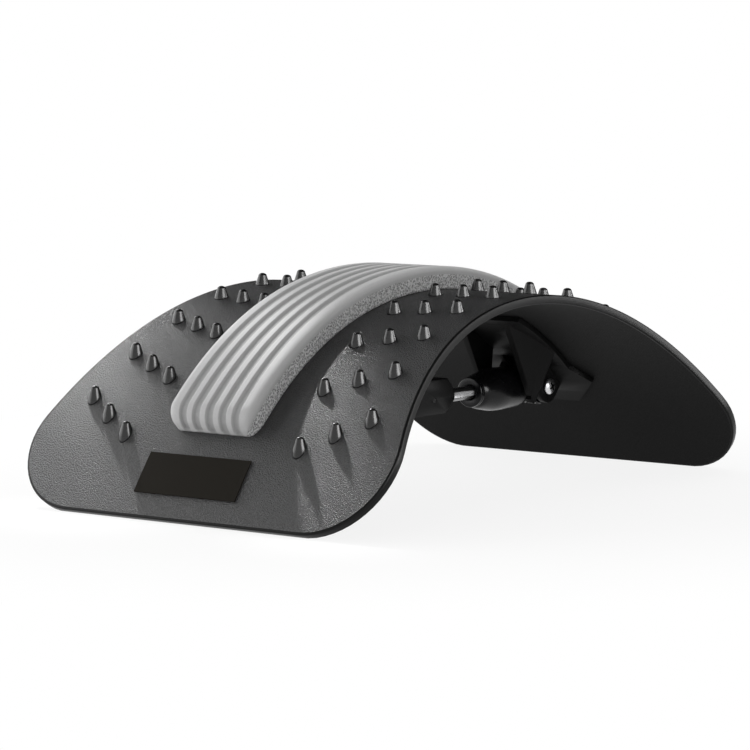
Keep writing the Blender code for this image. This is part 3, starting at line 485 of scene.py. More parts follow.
def coated_steel(strut, name, shade):
    """Steel of the bolts, nuts, washers, screws and pins, plated bright or near black; the near black
    also paints shade into the bolts' recesses.
    """
    finish = Finish(name)
    where = finish.place()
    bloom = finish.noise(where, 0.002, 3.0)
    scuffs = finish.noise(where, 0.0006, 4.0, 0.7)
    return finish.surface(
        Base_Color=finish.shades(bloom, strut.steel, 0.8 * shade, 1.08 * shade),
        Metallic=1.0,
        Roughness=0.18 + 0.2 * scuffs,
        Normal=finish.bump(scuffs, 0.00002, 0.4),
    )


def pale_nylon():
    """Pale plain nylon of the bushes, the guide and the piston."""
    finish = Finish("pale_nylon")
    where = finish.place()
    clouds = finish.noise(where, 0.004, 3.0)
    return finish.surface(
        Base_Color=finish.mix(clouds, (0.50, 0.49, 0.44, 1.0), (0.64, 0.63, 0.58, 1.0)),
        Roughness=0.40 + 0.1 * clouds,
        Normal=finish.bump(clouds, 0.00003, 0.3),
    )


def black_rubber():
    """Matte rubber of the rod's seal."""
    finish = Finish("black_rubber")
    dust = finish.noise(finish.place(), 0.0009, 3.0)
    return finish.surface(
        Base_Color=finish.mix(dust, (0.010, 0.010, 0.010, 1.0), (0.026, 0.026, 0.025, 1.0)),
        Roughness=0.75 + 0.1 * dust,
        Normal=finish.bump(dust, 0.00005, 0.5),
    )


class Arch:
    """The line that the sheet follows: three arcs on each side of the crown, each tangent."""

    def __init__(self, sheet):
        shoulder = sheet.half_length - sheet.crown_arc - sheet.foot_arc
        self.arcs = (
            (sheet.crown_radius, sheet.crown_arc),
            (sheet.shoulder_radius, shoulder),
            (sheet.foot_radius, sheet.foot_arc),
        )
        self.crown = joint_place("arch_flex").z

    def follow(self, along):
        """Return how far out and how far down a place is, and the sheet's slope there."""
        out = down = slope = 0.0
        left = abs(along)
        for radius, arc in self.arcs:
            step = min(left, arc)
            turned = slope + step / radius
            out += radius * (math.sin(turned) - math.sin(slope))
            down += radius * (math.cos(slope) - math.cos(turned))
            slope = turned
            left -= step
        return out, down, slope

    def point(self, across, along, lift):
        """Return the point that lies a lift outside the sheet's middle."""
        out, down, slope = self.follow(along)
        side = math.copysign(1.0, along)
        y = side * (out + lift * math.sin(slope))
        return Vector((across, y, self.crown - down + lift * math.cos(slope)))


def joint_place(name):
    """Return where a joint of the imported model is."""
    for joint in frame["joints"]:
        if joint["name"] == name:
            return Vector(joint["pos_m"])
    raise RuntimeError(f"the packed model has no joint {name}")


def bend_over(bm, arch):
    """Keep each point's flat place as its UV, then bend the piece over the arch."""
    plan = bm.loops.layers.uv.new("plan")
    for face in bm.faces:
        for loop in face.loops:
            loop[plan].uv = loop.vert.co.xy
    for vert in bm.verts:
        vert.co = arch.point(*vert.co)
        vert.co.z = max(vert.co.z, 0.0)


def finish_mesh(bm, name, materials, smooth=True):
    """Turn a bmesh into an object with its materials."""
    bmesh.ops.recalc_face_normals(bm, faces=bm.faces)
    mesh = bpy.data.meshes.new(name)
    bm.to_mesh(mesh)
    bm.free()
    for material in materials:
        mesh.materials.append(material)
    if smooth:
        mesh.shade_smooth()
    item = bpy.data.objects.new(name, mesh)
    bpy.context.scene.collection.objects.link(item)
    return item


def bridge(bm, rings, closed=True):
    """Join rings of points with faces, one ring to the next, and return the faces."""
    faces = []
    count = len(rings[0])
    for first, second in zip(rings, rings[1:]):
        for i in range(count if closed else count - 1):
            j = (i + 1) % count
            faces.append(bm.faces.new((first[i], first[j], second[j], second[i])))
    return faces


def round_z(radius, angle, height):
    """Return the point at a radius and an angle round Z, and at a height."""
    return Vector((radius * math.cos(angle), radius * math.sin(angle), height))


def turn_profile(bm, profile, sides, matrix):
    """Turn a profile of (radius, height) points round Z, closed at the ends that are on the axis."""
    rings = []
    for radius, height in profile:
        count = 1 if radius == 0.0 else sides
        spots = [round_z(radius, 2 * math.pi * i / sides, height) for i in range(count)]
        rings.append([bm.verts.new(matrix @ spot) for spot in spots])
    for first, second in zip(rings, rings[1:]):
        for i in range(sides):
            j = (i + 1) % sides
            if len(first) == 1:
                bm.faces.new((first[0], second[j], second[i]))
            elif len(second) == 1:
                bm.faces.new((first[i], first[j], second[0]))
            else:
                bm.faces.new((first[i], first[j], second[j], second[i]))
    if profile[0] == profile[-1]:
        bmesh.ops.remove_doubles(bm, verts=bm.verts, dist=SAME_PLACE)


def arc_points(centre, radius, start, end, steps):
    """Return points round an arc, its angles in degrees from the first axis."""
    points = []
    for i in range(steps + 1):
        angle = math.radians(start + (end - start) * i / steps)
        points.append((centre[0] + radius * math.cos(angle), centre[1] + radius * math.sin(angle)))
    return points


def outline_rows(sheet, inset):
    """Return, row by row, the outline's place along the sheet, its half-width and its direction out."""
    corner = sheet.corner_radius
    across = sheet.half_width - corner
    along = sheet.half_length - corner
    hollow = sheet.waist_half_width - across
    waist = (hollow**2 + along**2 - corner**2) / (2 * (corner - hollow))
    waist_across = sheet.waist_half_width + waist
    swing = math.atan2(along, waist_across - across)
    half = []
    waist_rows = 40
    corner_rows = 16
    for i in range(waist_rows + 1):
        angle = swing * i / waist_rows
        reach = waist_across - (waist + inset) * math.cos(angle)
        half.append(((waist + inset) * math.sin(angle), reach, (math.cos(angle), -math.sin(angle))))
    for i in range(1, corner_rows + 1):
        angle = -swing + (math.pi / 2 + swing) * i / corner_rows
        reach = across + (corner - inset) * math.cos(angle)
        place = along + (corner - inset) * math.sin(angle)
        half.append((place, reach, (math.cos(angle), math.sin(angle))))
    mirrored = [(-place, reach, (out[0], -out[1])) for place, reach, out in reversed(half[1:])]
    return mirrored + half


def rim_loop(rows, columns):
    """Return the sheet's outer points in order round it: row, column and direction out."""
    last = len(rows) - 1
    loop = [(0, column, (0.0, -1.0)) for column in range(columns + 1)]
    loop += [(row, columns, rows[row][2]) for row in range(1, last + 1)]
    loop += [(last, column, (0.0, 1.0)) for column in range(columns - 1, -1, -1)]
    loop += [(row, 0, (-rows[row][2][0], rows[row][2][1])) for row in range(last - 1, 0, -1)]
    return loop


def make_sheet(sheet, arch):
    """Make the springy sheet with its round rim."""
    columns = 24
    rim_steps = 4
    hold = 0.0006
    half = sheet.thickness / 2
    rounding = sheet.edge_rounding
    rows = outline_rows(sheet, rounding + hold)
    bm = bmesh.new()
    grids = []
    for lift in (half, -half):
        grid = []
        for place, reach, _ in rows:
            spots = [(reach * (2 * column / columns - 1), place) for column in range(columns + 1)]
            grid.append([bm.verts.new((x, y, lift)) for x, y in spots])
        grids.append(grid)
    for index, grid in enumerate(grids):
        for face in [f for pair in zip(grid, grid[1:]) for f in bridge(bm, pair, False)]:
            face.material_index = index * 2
    loop = rim_loop(rows, columns)
    upper = arc_points((hold, half - rounding), rounding, 90, 0, rim_steps)
    lower = arc_points((hold, rounding - half), rounding, 0, -90, rim_steps)
    rings = [[grids[0][row][column] for row, column, _ in loop]]
    for offset, lift in upper + lower:
        ring = []
        for row, column, out in loop:
            base = grids[0][row][column].co
            ring.append(bm.verts.new((base.x + out[0] * offset, base.y + out[1] * offset, lift)))
        rings.append(ring)
    rings.append([grids[1][row][column] for row, column, _ in loop])
    for face in bridge(bm, rings):
        face.material_index = 1
    bend_over(bm, arch)
    finishes = [grained_sheet_top(sheet), plain_sheet_rim(sheet), grid_sheet_underside(sheet)]
    return finish_mesh(bm, "springy_sheet", finishes)


def nub_places():
    """Return where the nubs stand on the flat sheet, as across and along."""
    pitches = (0.0409, 0.0385, 0.0360)
    offsets = (0.0447, 0.0633, 0.0828)
    spreads = (0.00083, 0.00083, 0.00076)
    rows = 10
    places = []
    for pitch, offset, spread in zip(pitches, offsets, spreads):
        for row in range(rows):
            step = row - (rows - 1) / 2
            across = offset + spread * step**2
            places.append((across, pitch * step))
            places.append((-across, pitch * step))
    return places


def nub_line(sheet, fall, turn):
    """Return a nub's outline at one angle round it, from the slope of the sheet up to the tip."""
    foot = sheet.nub_base
    tip = sheet.nub_tip
    height = sheet.nub_height
    sunk = 0.0005
    dome = 0.0016
    narrowing = (foot - tip) / (height - dome)
    lean = fall * math.sin(turn)
    start = -foot * lean if lean > 0.0 else -foot * lean / (1 - narrowing * lean)
    side_steps = 6
    dome_steps = 5
    line = []
    for step in range(side_steps + 1):
        up = start - sunk + (height - dome - start + sunk) * step / side_steps
        line.append((foot - narrowing * max(up, 0.0), up))
    for step in range(1, dome_steps):
        angle = math.pi / 2 * step / dome_steps
        line.append((tip * math.cos(angle), height - dome * (1 - math.sin(angle))))
    return line


def make_nubs(sheet, arch):
    """Make the nubs, which all stand upright, their feet cut to the slope of the sheet."""
    sides = 28
    bm = bmesh.new()
    for across, along in nub_places():
        place = arch.point(across, along, sheet.thickness / 2)
        fall = math.copysign(math.tan(arch.follow(along)[2]), along)
        columns = []
        for i in range(sides):
            turn = 2 * math.pi * i / sides
            spots = [place + round_z(reach, turn, up) for reach, up in nub_line(sheet, fall, turn)]
            columns.append([bm.verts.new(spot) for spot in spots])
        rings = list(zip(*columns))
        bridge(bm, rings)
        bm.faces.new(rings[0])
        crest = bm.verts.new(place + Vector((0.0, 0.0, sheet.nub_height)))
        last = rings[-1]
        for i, vert in enumerate(last):
            bm.faces.new((vert, last[(i + 1) % sides], crest))
    return finish_mesh(bm, "moulded_nubs", [glossy_nub(sheet)])


def outermost_groove(pad):
    """Return how many grooves the outermost one is away from the pad's middle."""
    return (pad.grooves - 1) / 2


def groove_share(pad, across):
    """Return how deep in a groove a place across the pad is, from nought to one."""
    outermost = outermost_groove(pad)
    step = max(-outermost, min(outermost, round(across / pad.groove_pitch)))
    flat_share = 0.24
    floor = pad.groove_width * flat_share
    wall = pad.groove_width / 2 - floor
    away = (abs(across - step * pad.groove_pitch) - floor) / wall
    return 0.5 + 0.5 * math.cos(math.pi * min(max(away, 0.0), 1.0))


def pad_section(pad):
    """Return half the pad's section, as (across, height of the ridges, groove depth, is cut side)."""
    flat = pad.half_width - pad.shoulder
    top_steps = 90
    shoulder_steps = 10
    side_steps = 7
    section = []
    for i in range(top_steps + 1):
        across = flat * i / top_steps
        section.append((across, pad.height, pad.groove_depth * groove_share(pad, across), False))
    for i in range(1, shoulder_steps + 1):
        angle = math.pi / 2 * i / shoulder_steps
        fall = (pad.height - pad.side_height) * (1 - math.cos(angle))
        section.append((flat + pad.shoulder * math.sin(angle), pad.height - fall, 0.0, False))
    for i in range(1, side_steps + 1):
        section.append((pad.half_width, pad.side_height * (1 - i / side_steps), 0.0, True))
    return section


def make_pad(pad, sheet, arch):
    """Make the ribbed foam pad, its top and its grooves rolled over at both ends."""
    half = pad_section(pad)
    mirrored = [(-across, height, depth, cut) for across, height, depth, cut in reversed(half[1:])]
    section = mirrored + half
    rounding = pad.end_rounding
    body = pad.half_length - rounding
    rows = 130
    ends = 14
    stations = [(body * (2 * i / rows - 1), 0.0) for i in range(rows + 1)]
    for i in range(1, ends + 1):
        angle = math.pi / 2 * i / ends
        stations.append((body, angle))
        stations.insert(0, (-body, angle))
    base = sheet.thickness / 2 + CLEARANCE
    bm = bmesh.new()
    rings = []
    for start, angle in stations:
        way = math.copysign(1.0, start)
        curve = math.cos(angle)
        narrower = pad.corner_rounding * (1 - curve) / pad.half_width**4
        ring = []
        for across, height, depth, _ in section:
            rise = min(height, pad.end_height + max(height - pad.end_height, 0.0) * curve)
            along = start + way * (rounding - depth) * math.sin(angle)
            lift = base + max(rise - depth * curve, 0.0)
            ring.append(bm.verts.new((across * (1 - narrower * abs(across) ** 3), along, lift)))
        rings.append(ring)
    count = len(section)
    for index, face in enumerate(bridge(bm, rings)):
        here = section[index % count]
        there = section[(index + 1) % count]
        face.material_index = 1 if here[3] and there[3] else 0
    bm.faces.new(rings[0])
    bm.faces.new(rings[-1])
    bend_over(bm, arch)
    return finish_mesh(bm, "ribbed_foam_pad", [foam_skin(pad), cut_foam(pad)])


def sharpen(item, degrees=35):
    """Shade an object's edges sharp where its faces turn by more than an angle."""
    item.data.set_sharp_from_angle(angle=math.radians(degrees))
    return item


def soften(node, name, width, material):
    """Copy a solid's shape and round its edges."""
    bm = bmesh.new()
    bm.from_mesh(frame["nodes"][node].data)
    bmesh.ops.remove_doubles(bm, verts=bm.verts, dist=0.000005)
    bmesh.ops.dissolve_limit(
        bm, angle_limit=math.radians(1.0), verts=bm.verts, edges=bm.edges, delimit={"NORMAL"}
    )
    item = finish_mesh(bm, name, [material])
    rounding = item.modifiers.new("rounding", "BEVEL")
    rounding.width = width
    rounding.segments = 2
    rounding.limit_method = "ANGLE"
    rounding.angle_limit = math.radians(28)
    rounding.use_clamp_overlap = True
    rounding.harden_normals = True
    settle(item)
    return sharpen(item, 40)


def settle(item):
    """Turn an object's modifiers into its mesh."""
    bpy.context.view_layer.update()
    evaluated = item.evaluated_get(bpy.context.evaluated_depsgraph_get())
    mesh = bpy.data.meshes.new_from_object(evaluated)
    item.modifiers.clear()
    item.data = mesh


def combine(item, tool, operation):
    """Cut an object with another, or join them, and remove the other."""
    modifier = item.modifiers.new(operation.lower(), "BOOLEAN")
    modifier.operation = operation
    modifier.solver = "EXACT"
    modifier.material_mode = "TRANSFER"
    modifier.object = tool
    settle(item)
    bpy.data.objects.remove(tool, do_unlink=True)


def along_y(place):
    """Return the matrix that lays Z along +Y at a place."""
    return Matrix.Translation(place) @ Matrix.Rotation(-math.pi / 2, 4, "X")


def along_x(place):
    """Return the matrix that lays Z along +X at a place."""
    return Matrix.Translation(place) @ Matrix.Rotation(math.pi / 2, 4, "Y")


def turned_piece(name, profile, sides, matrix, material):
    """Make a turned piece."""
    bm = bmesh.new()
    turn_profile(bm, profile, sides, matrix)
    return finish_mesh(bm, name, [material])


def smooth_between(before, start, end, after, way):
    """Return the value part of the way from start to end, on a curve smooth through all four."""
    bend = 2 * before - 5 * start + 4 * end - after
    twist = 3 * start - 3 * end + after - before
    return (2 * start + (end - before) * way + bend * way**2 + twist * way**3) / 2


def smooth_line(points, steps):
    """Return a smooth line through (radius, height) points."""
    ends = [points[0], *points, points[-1]]
    line = []
    for four in zip(ends, ends[1:], ends[2:], ends[3:]):
        for i in range(steps):
            line.append(tuple(smooth_between(*values, i / steps) for values in zip(*four)))
    return line + [points[-1]]


def pivot_place(side):
    """Return a pivot's centre."""
    far = joint_place("strut_tilt")
    return Vector((far.x, side * far.y, far.z))


def half_size(box):
    """Return half of a box's size along X, Y and Z."""
    low, high = box
    return (high - low) / 2


def round_solid(box):
    """Return the radius of a round solid that lies along Y, its near end's middle and its length."""
    low, high = box
    centre = Vector((0.0, low.y, (low.z + high.z) / 2))
    return (high.x - low.x) / 2, centre, high.y - low.y


def drill(item, radius, reach, sides, matrix):
    """Drill a round hole through an object, a reach long on both sides of the matrix's place."""
    outline = [(0.0, -reach), (radius, -reach), (radius, reach), (0.0, reach)]
    tool = turned_piece("drill_tool", outline, sides, matrix, item.data.materials[0])
    combine(item, tool, "DIFFERENCE")


def barrel_profile(strut):
    """Return the barrel's outline, from its tail over the bulge to its mouth and down its bore."""
    bulge = strut.bulge_radius
    mouth = strut.mouth_radius
    tail = strut.tail_radius
    run = strut.barrel_length - strut.bulge_at
    edge = 0.0006
    tail_cap = 0.008
    before_bulge = 0.006
    skin = [(tail, -strut.tail_end - tail_cap), (bulge * 0.99, before_bulge - strut.bulge_at)]
    for way, fall in ((0.0, 0.0), (0.28, 0.10), (0.58, 0.38), (0.86, 0.72)):
        skin.append((bulge - (bulge - mouth) * fall, -(strut.bulge_at + run * way)))
    skin.append((mouth, edge - strut.barrel_length))
    profile = [(0.0, -strut.tail_end)]
    for part, back in ((0.8, 0.0), (0.9, 0.001), (0.97, 0.004)):
        profile.append((tail * part, -strut.tail_end - back))
    profile += smooth_line(skin, 6)
    profile += [(mouth - edge, -strut.barrel_length), (strut.bore_radius, -strut.barrel_length)]
    return profile + [(strut.bore_radius, -strut.bore_end), (0.0, -strut.bore_end)]


def make_barrel(strut, material):
    """Make the bulged barrel with the far eye at its tail."""
    pivot = pivot_place(FAR)
    barrel = turned_piece("barrel_shell", barrel_profile(strut), 96, along_y(pivot), material)
    bush = half_size(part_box("far_bush"))
    half = bush.x
    edge = 0.0008
    radius = strut.eye_radius
    outline = [(0.0, -half), (radius - edge, -half), (radius, edge - half)]
    outline += [(radius, half - edge), (radius - edge, half), (0.0, half)]
    combine(barrel, turned_piece("eye_tool", outline, 72, along_x(pivot), material), "UNION")
    drill(barrel, bush.z + CLEARANCE, 2 * half, 72, along_x(pivot))
    barrel.data.shade_smooth()
    return sharpen(barrel)


def make_collar(material):
    """Make the collar in the barrel's mouth, with a bright-catching edge and a dished hole."""
    outer, centre, depth = round_solid(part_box("barrel_collar"))
    running = half_size(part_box("piston_rod")).x + CLEARANCE
    flange = 0.0035
    spigot = outer - 0.0013
    dish = 0.0012
    hold = 0.0006
    edge = 0.0007
    groove = 0.0003
    groove_line = ((0.55, 0.0), (0.62, groove), (0.70, 0.0))
    profile = [(running, depth), (running, dish + hold)]
    profile += arc_points((running + dish, dish), dish, 180, 270, 4)
    profile += arc_points((outer - edge, edge), edge, -90, 0, 4)
    profile += [(outer - cut, flange * part) for part, cut in groove_line]
    profile += [(outer, flange), (spigot, flange), (spigot, depth), (running, depth)]
    return sharpen(turned_piece("barrel_mouth_collar", profile, 72, along_y(centre), material))


def make_rod(material):
    """Make the polished rod, stepped where it takes the piston."""
    radius, centre, whole = round_solid(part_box("piston_rod"))
    piston_low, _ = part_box("piston")
    shoulder = piston_low.y - CLEARANCE - centre.y
    neck = 0.0025
    edge = 0.0004
    end = 0.001
    profile = [(0.0, 0.0), (radius - end, 0.0), (radius, end)]
    profile += [(radius, shoulder - edge), (radius - edge, shoulder), (neck, shoulder)]
    profile += [(neck, whole - edge), (neck - edge, whole), (0.0, whole)]
    rod = sharpen(turned_piece("polished_rod", profile, 48, along_y(centre), material))
    pin_low, pin_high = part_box("rod_pin")
    hole = (pin_high.z - pin_low.z) / 2 + CLEARANCE
    drill(rod, hole, pin_high.x, 24, along_x((pin_low + pin_high) / 2))
    return rod


def bolt_profile(strut, tip, top):
    """Return a bolt's outline, from the top of its domed head to the thread rings at its tip."""
    radius = strut.bolt_radius
    head = strut.head_radius
    face = top - strut.head_height
    brim = 0.18
    edge = 0.0002
    profile = [(0.0, top)]
    steps = 8
    for i in range(1, steps + 1):
        angle = math.pi / 2 * i / steps
        rise = strut.head_height * (brim + (1 - brim) * math.cos(angle))
        profile.append((head * math.sin(angle), face + rise))
    profile += [(head, face + edge), (head - edge, face), (radius, face)]
    turns = 9
    pitch = 0.0007
    depth = 0.00028
    land = 0.0003
    bevel = 0.0005
    start = tip + land + turns * pitch
    profile.append((radius, start))
    for i in range(turns):
        here = start - i * pitch
        profile += [(radius - depth, here - pitch / 2), (radius, here - pitch)]
    return profile + [(radius - bevel, tip), (0.0, tip)]


def make_bolt(strut, side, material, recess_shade_material):
    """Make a pivot bolt with a cross recess in its head, whose cut faces take near-black steel as
    painted shade.
    """
    name = f"{LEGS[side]}_pivot_bolt"
    low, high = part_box(name)
    pivot = pivot_place(side)
    profile = bolt_profile(strut, low.x, high.x)
    bolt = turned_piece(f"{name}_turned", profile, 48, along_x(pivot), material)
    centre = Matrix.Translation((high.x, pivot.y, pivot.z))
    recess_depth = 0.0017
    recess_width = 0.0012
    size = Matrix.Diagonal((2 * recess_depth, strut.head_radius * 1.1, recess_width, 1.0))
    tilt = 0.5
    for turn in (tilt, tilt + math.pi / 2):
        bm = bmesh.new()
        bmesh.ops.create_cube(bm, size=1.0, matrix=centre @ Matrix.Rotation(turn, 4, "X") @ size)
        # The recess's cut faces take the near-black steel: painted shade.
        combine(bolt, finish_mesh(bm, "recess_tool", [recess_shade_material], False), "DIFFERENCE")
    return sharpen(bolt)


def make_nut(side, material):
    """Make a pivot's nut, six-sided with chamfered ends."""
    name = f"{LEGS[side]}_pivot_nut"
    low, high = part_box(name)
    flats = min(high.y - low.y, high.z - low.z) / 2
    corner = flats / math.cos(math.pi / 6)
    chamfer = 0.0006
    thick = high.x - low.x
    sides = 72
    pivot = pivot_place(side)
    matrix = along_x(Vector((low.x, pivot.y, pivot.z)))
    bm = bmesh.new()
    outer = []
    inner = []
    for limit, height in ((flats, 0.0), (corner, chamfer), (corner, thick - chamfer), (flats, thick)):
        ring = []
        bore = []
        for i in range(sides):
            angle = 2 * math.pi * i / sides
            reach = min(limit, flats / math.cos(angle % (math.pi / 3) - math.pi / 6))
            ring.append(bm.verts.new(matrix @ round_z(reach, angle, height)))
            bore.append(bm.verts.new(matrix @ round_z(BOLT_HOLE, angle, height)))
        outer.append(ring)
        inner.append(bore)
    bridge(bm, outer)
    bridge(bm, inner)
    bridge(bm, (outer[0], inner[0]))
    bridge(bm, (outer[-1], inner[-1]))
    return sharpen(finish_mesh(bm, f"{name}_chamfered", [material]), 25)


def make_washer(node, material):
    """Make a washer with softly rounded edges."""
    low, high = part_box(node)
    radius = (high.z - low.z) / 2
    thick = high.x - low.x
    edge = 0.00025
    profile = [(BOLT_HOLE, 0.0), (radius - edge, 0.0), (radius, edge), (radius, thick - edge)]
    profile += [(radius - edge, thick), (BOLT_HOLE, thick), (BOLT_HOLE, 0.0)]
    centre = Vector((low.x, (low.y + high.y) / 2, (low.z + high.z) / 2))
    return sharpen(turned_piece(f"{node}_turned", profile, 48, along_x(centre), material))


def dress(piece, body, slot, *nodes):
    """Let a finished piece ride on a body in place of its solids."""
    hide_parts(*nodes)
    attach(piece, body)


def paint(node, material):
    """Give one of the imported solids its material."""
    solid = frame["nodes"][node]
    solid.data.materials.clear()
    solid.data.materials.append(material)


class STRETCHER_OT_camera(bpy.types.Operator):
    """Set up the camera at the photograph's angle"""

    bl_idname = "stretcher.camera"
    bl_label = "Camera"

    def execute(self, context):
        stage = context.scene.stretcher_stage
        data = bpy.data.cameras.new("product_camera")
        data.sensor_width = 36.0
        data.lens = stage.lens
        data.clip_end = 50.0
        camera = bpy.data.objects.new("product_camera", data)
        camera.location = stage.place
        camera.rotation_euler = (math.pi / 2 - stage.pitch, 0.0, stage.yaw)
        context.scene.collection.objects.link(camera)
        context.scene.camera = camera
        return {"FINISHED"}


class STRETCHER_OT_sheet(bpy.types.Operator):
    """Make the springy sheet and its nubs"""

    bl_idname = "stretcher.sheet"
    bl_label = "Sheet and nubs"

    def execute(self, context):
        sheet = context.scene.stretcher_sheet
        arch = Arch(sheet)
        for piece in (make_sheet(sheet, arch), make_nubs(sheet, arch)):
            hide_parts("arch_plate")
            blend_over_crown(piece)
        return {"FINISHED"}


class STRETCHER_OT_pad(bpy.types.Operator):
    """Make the ribbed foam pad"""

    bl_idname = "stretcher.pad"
    bl_label = "Foam pad"

    def execute(self, context):
        sheet = context.scene.stretcher_sheet
        pad = make_pad(context.scene.stretcher_pad, sheet, Arch(sheet))
        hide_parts("foam_pad")
        blend_over_crown(pad)
        return {"FINISHED"}


class STRETCHER_OT_label(bpy.types.Operator):
    """Finish the bare label"""

    bl_idname = "stretcher.label"
    bl_label = "Label"

    def execute(self, context):
        paint("label_plate", label_film())
        return {"FINISHED"}


class STRETCHER_OT_brackets(bpy.types.Operator):
    """Make the brackets under both legs"""

    bl_idname = "stretcher.brackets"
    bl_label = "Brackets"

    def execute(self, context):
        strut = context.scene.stretcher_strut
        material = satin_moulding(strut)
        for side, leg in LEGS.items():
            node = f"{leg}_bracket"
            piece = soften(node, f"{leg}_leg_bracket", strut.edge_rounding, material)
            dress(piece, LEG_BODIES[side], "bracket", node)
        return {"FINISHED"}


class STRETCHER_OT_strut(bpy.types.Operator):
    """Make the strut: barrel, collar, rod and arm"""

    bl_idname = "stretcher.strut"
    bl_label = "Strut"

    def execute(self, context):
        strut = context.scene.stretcher_strut
        gloss = gloss_moulding(strut)
        dress(make_barrel(strut, gloss), "barrel", "barrel", "strut_barrel")
        dress(make_collar(gloss), "barrel", "barrel", "barrel_collar")
        dress(make_rod(polished_steel(strut)), "rod", "steel", "piston_rod")
        moulding = satin_moulding(strut)
        arm = soften("strut_arm", "strut_arm_moulding", strut.edge_rounding, moulding)
        dress(arm, "rod", "bracket", "strut_arm")
        paint("rod_seal", black_rubber())
        nylon = pale_nylon()
        for node in ("rod_guide", "piston"):
            paint(node, nylon)
        paint("piston_nut", coated_steel(strut, *PLATED))
        paint("rod_pin", coated_steel(strut, *NEAR_BLACK_AND_RECESS_SHADE))
        return {"FINISHED"}


class STRETCHER_OT_pivots(bpy.types.Operator):
    """Make the pivot bolts, nuts and washers, and finish the bushes and the bracket screws"""

    bl_idname = "stretcher.pivots"
    bl_label = "Pivots and screws"

    def execute(self, context):
        strut = context.scene.stretcher_strut
        plated = coated_steel(strut, *PLATED)
        # Near-black steel, used as painted shade in the bolts' recesses.
        black = coated_steel(strut, *NEAR_BLACK_AND_RECESS_SHADE)
        nylon = pale_nylon()
        for side, leg in LEGS.items():
            body = LEG_BODIES[side]
            dress(make_bolt(strut, side, plated, black), body, "steel", f"{leg}_pivot_bolt")
            dress(make_nut(side, plated), body, "steel", f"{leg}_pivot_nut")
            for hand in ("left", "right"):
                node = f"{leg}_pivot_washer_{hand}"
                dress(make_washer(node, plated), body, "steel", node)
            paint(f"{leg}_bush", nylon)
            for number in range(1, 5):
                paint(f"{leg}_bracket_screw_{number}", plated)
        return {"FINISHED"}


class STRETCHER_OT_stage(bpy.types.Operator):
    """Lay the floor, set up the lights and choose the plain view transform"""

    bl_idname = "stretcher.stage"
    bl_label = "Stage"

    def execute(self, context):
        context.scene.view_settings.view_transform = "Standard"
        stage = context.scene.stretcher_stage
        lay_floor(stage)
        light_world(context.scene, stage)
        hang_cove(stage)
        hang_lamps(stage)
        return {"FINISHED"}


def blend_over_crown(piece):
    """Bake a piece's placement into its mesh."""
    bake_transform(piece)


def lay_floor(stage):
    """Lay a wide pale floor. The camera sees the backdrop's white, with the object's faint shadow."""
    bm = bmesh.new()
    bmesh.ops.create_grid(bm, x_segments=2, y_segments=2, size=6.0)
    finish = Finish("pale_floor")
    speckle = finish.noise(finish.place(), 0.3)
    finish.surface(
        Base_Color=finish.mix(speckle, scaled(stage.floor, 0.99), stage.floor),
        Roughness=0.9,
        Specular_IOR_Level=0.1,
    )
    away = finish.add("ShaderNodeVectorMath", {"operation": "LENGTH"}, {0: finish.place()}, "Value")
    shadow_fades = (0.15, 0.45)
    white_near_object = 0.86
    plain = finish.ramp(away, *shadow_fades, white_near_object)
    painted = Value(finish, finish.tree.nodes["Principled BSDF"].outputs[0])
    white = finish.add("ShaderNodeEmission")
    seen = finish.either_ray("Is Camera Ray", "Is Glossy Ray") * plain
    blend = finish.add("ShaderNodeMixShader", inputs={0: seen, 1: painted, 2: white})
    finish.feed(finish.tree.nodes["Material Output"].inputs[0], blend)
    finish_mesh(bm, "floor", [finish.owner], False)


def light_world(scene, stage):
    """Light the scene from all round, with a white backdrop for what is seen directly."""
    scene.world = bpy.data.worlds.new("studio")
    finish = Finish(scene.world)
    seen = finish.either_ray("Is Camera Ray", "Is Glossy Ray", "Is Transmission Ray")
    backdrop = finish.tree.nodes["Background"]
    finish.feed(backdrop.inputs["Color"], (1.0, 1.0, 1.0, 1.0))
    finish.feed(backdrop.inputs["Strength"], finish.ramp(seen, 0.0, 1.0, stage.fill))


def hang_cove(stage):
    """Hang a dark cove behind and over the object, which only reflections show."""
    bm = bmesh.new()
    half = 1.5
    behind = 1.1
    before = -0.9
    height = 0.9
    rings = []
    for back, up in ((behind, 0.0), (behind, height), (before, height)):
        rings.append([bm.verts.new((-half, back, up)), bm.verts.new((half, back, up))])
    bridge(bm, rings, False)
    finish = Finish("dark_cove")
    nap = finish.noise(finish.place(), 0.004)
    finish.surface(
        Base_Color=finish.mix(nap, (0.006, 0.006, 0.006, 1.0), (0.012, 0.012, 0.012, 1.0)),
        Roughness=1.0,
        Specular_IOR_Level=0.0,
    )
    cove = finish_mesh(bm, "dark_cove", [finish.owner], False)
    cove.rotation_euler = (0.0, 0.0, stage.yaw)
    cove.visible_camera = False
    cove.visible_diffuse = False
    cove.visible_shadow = False


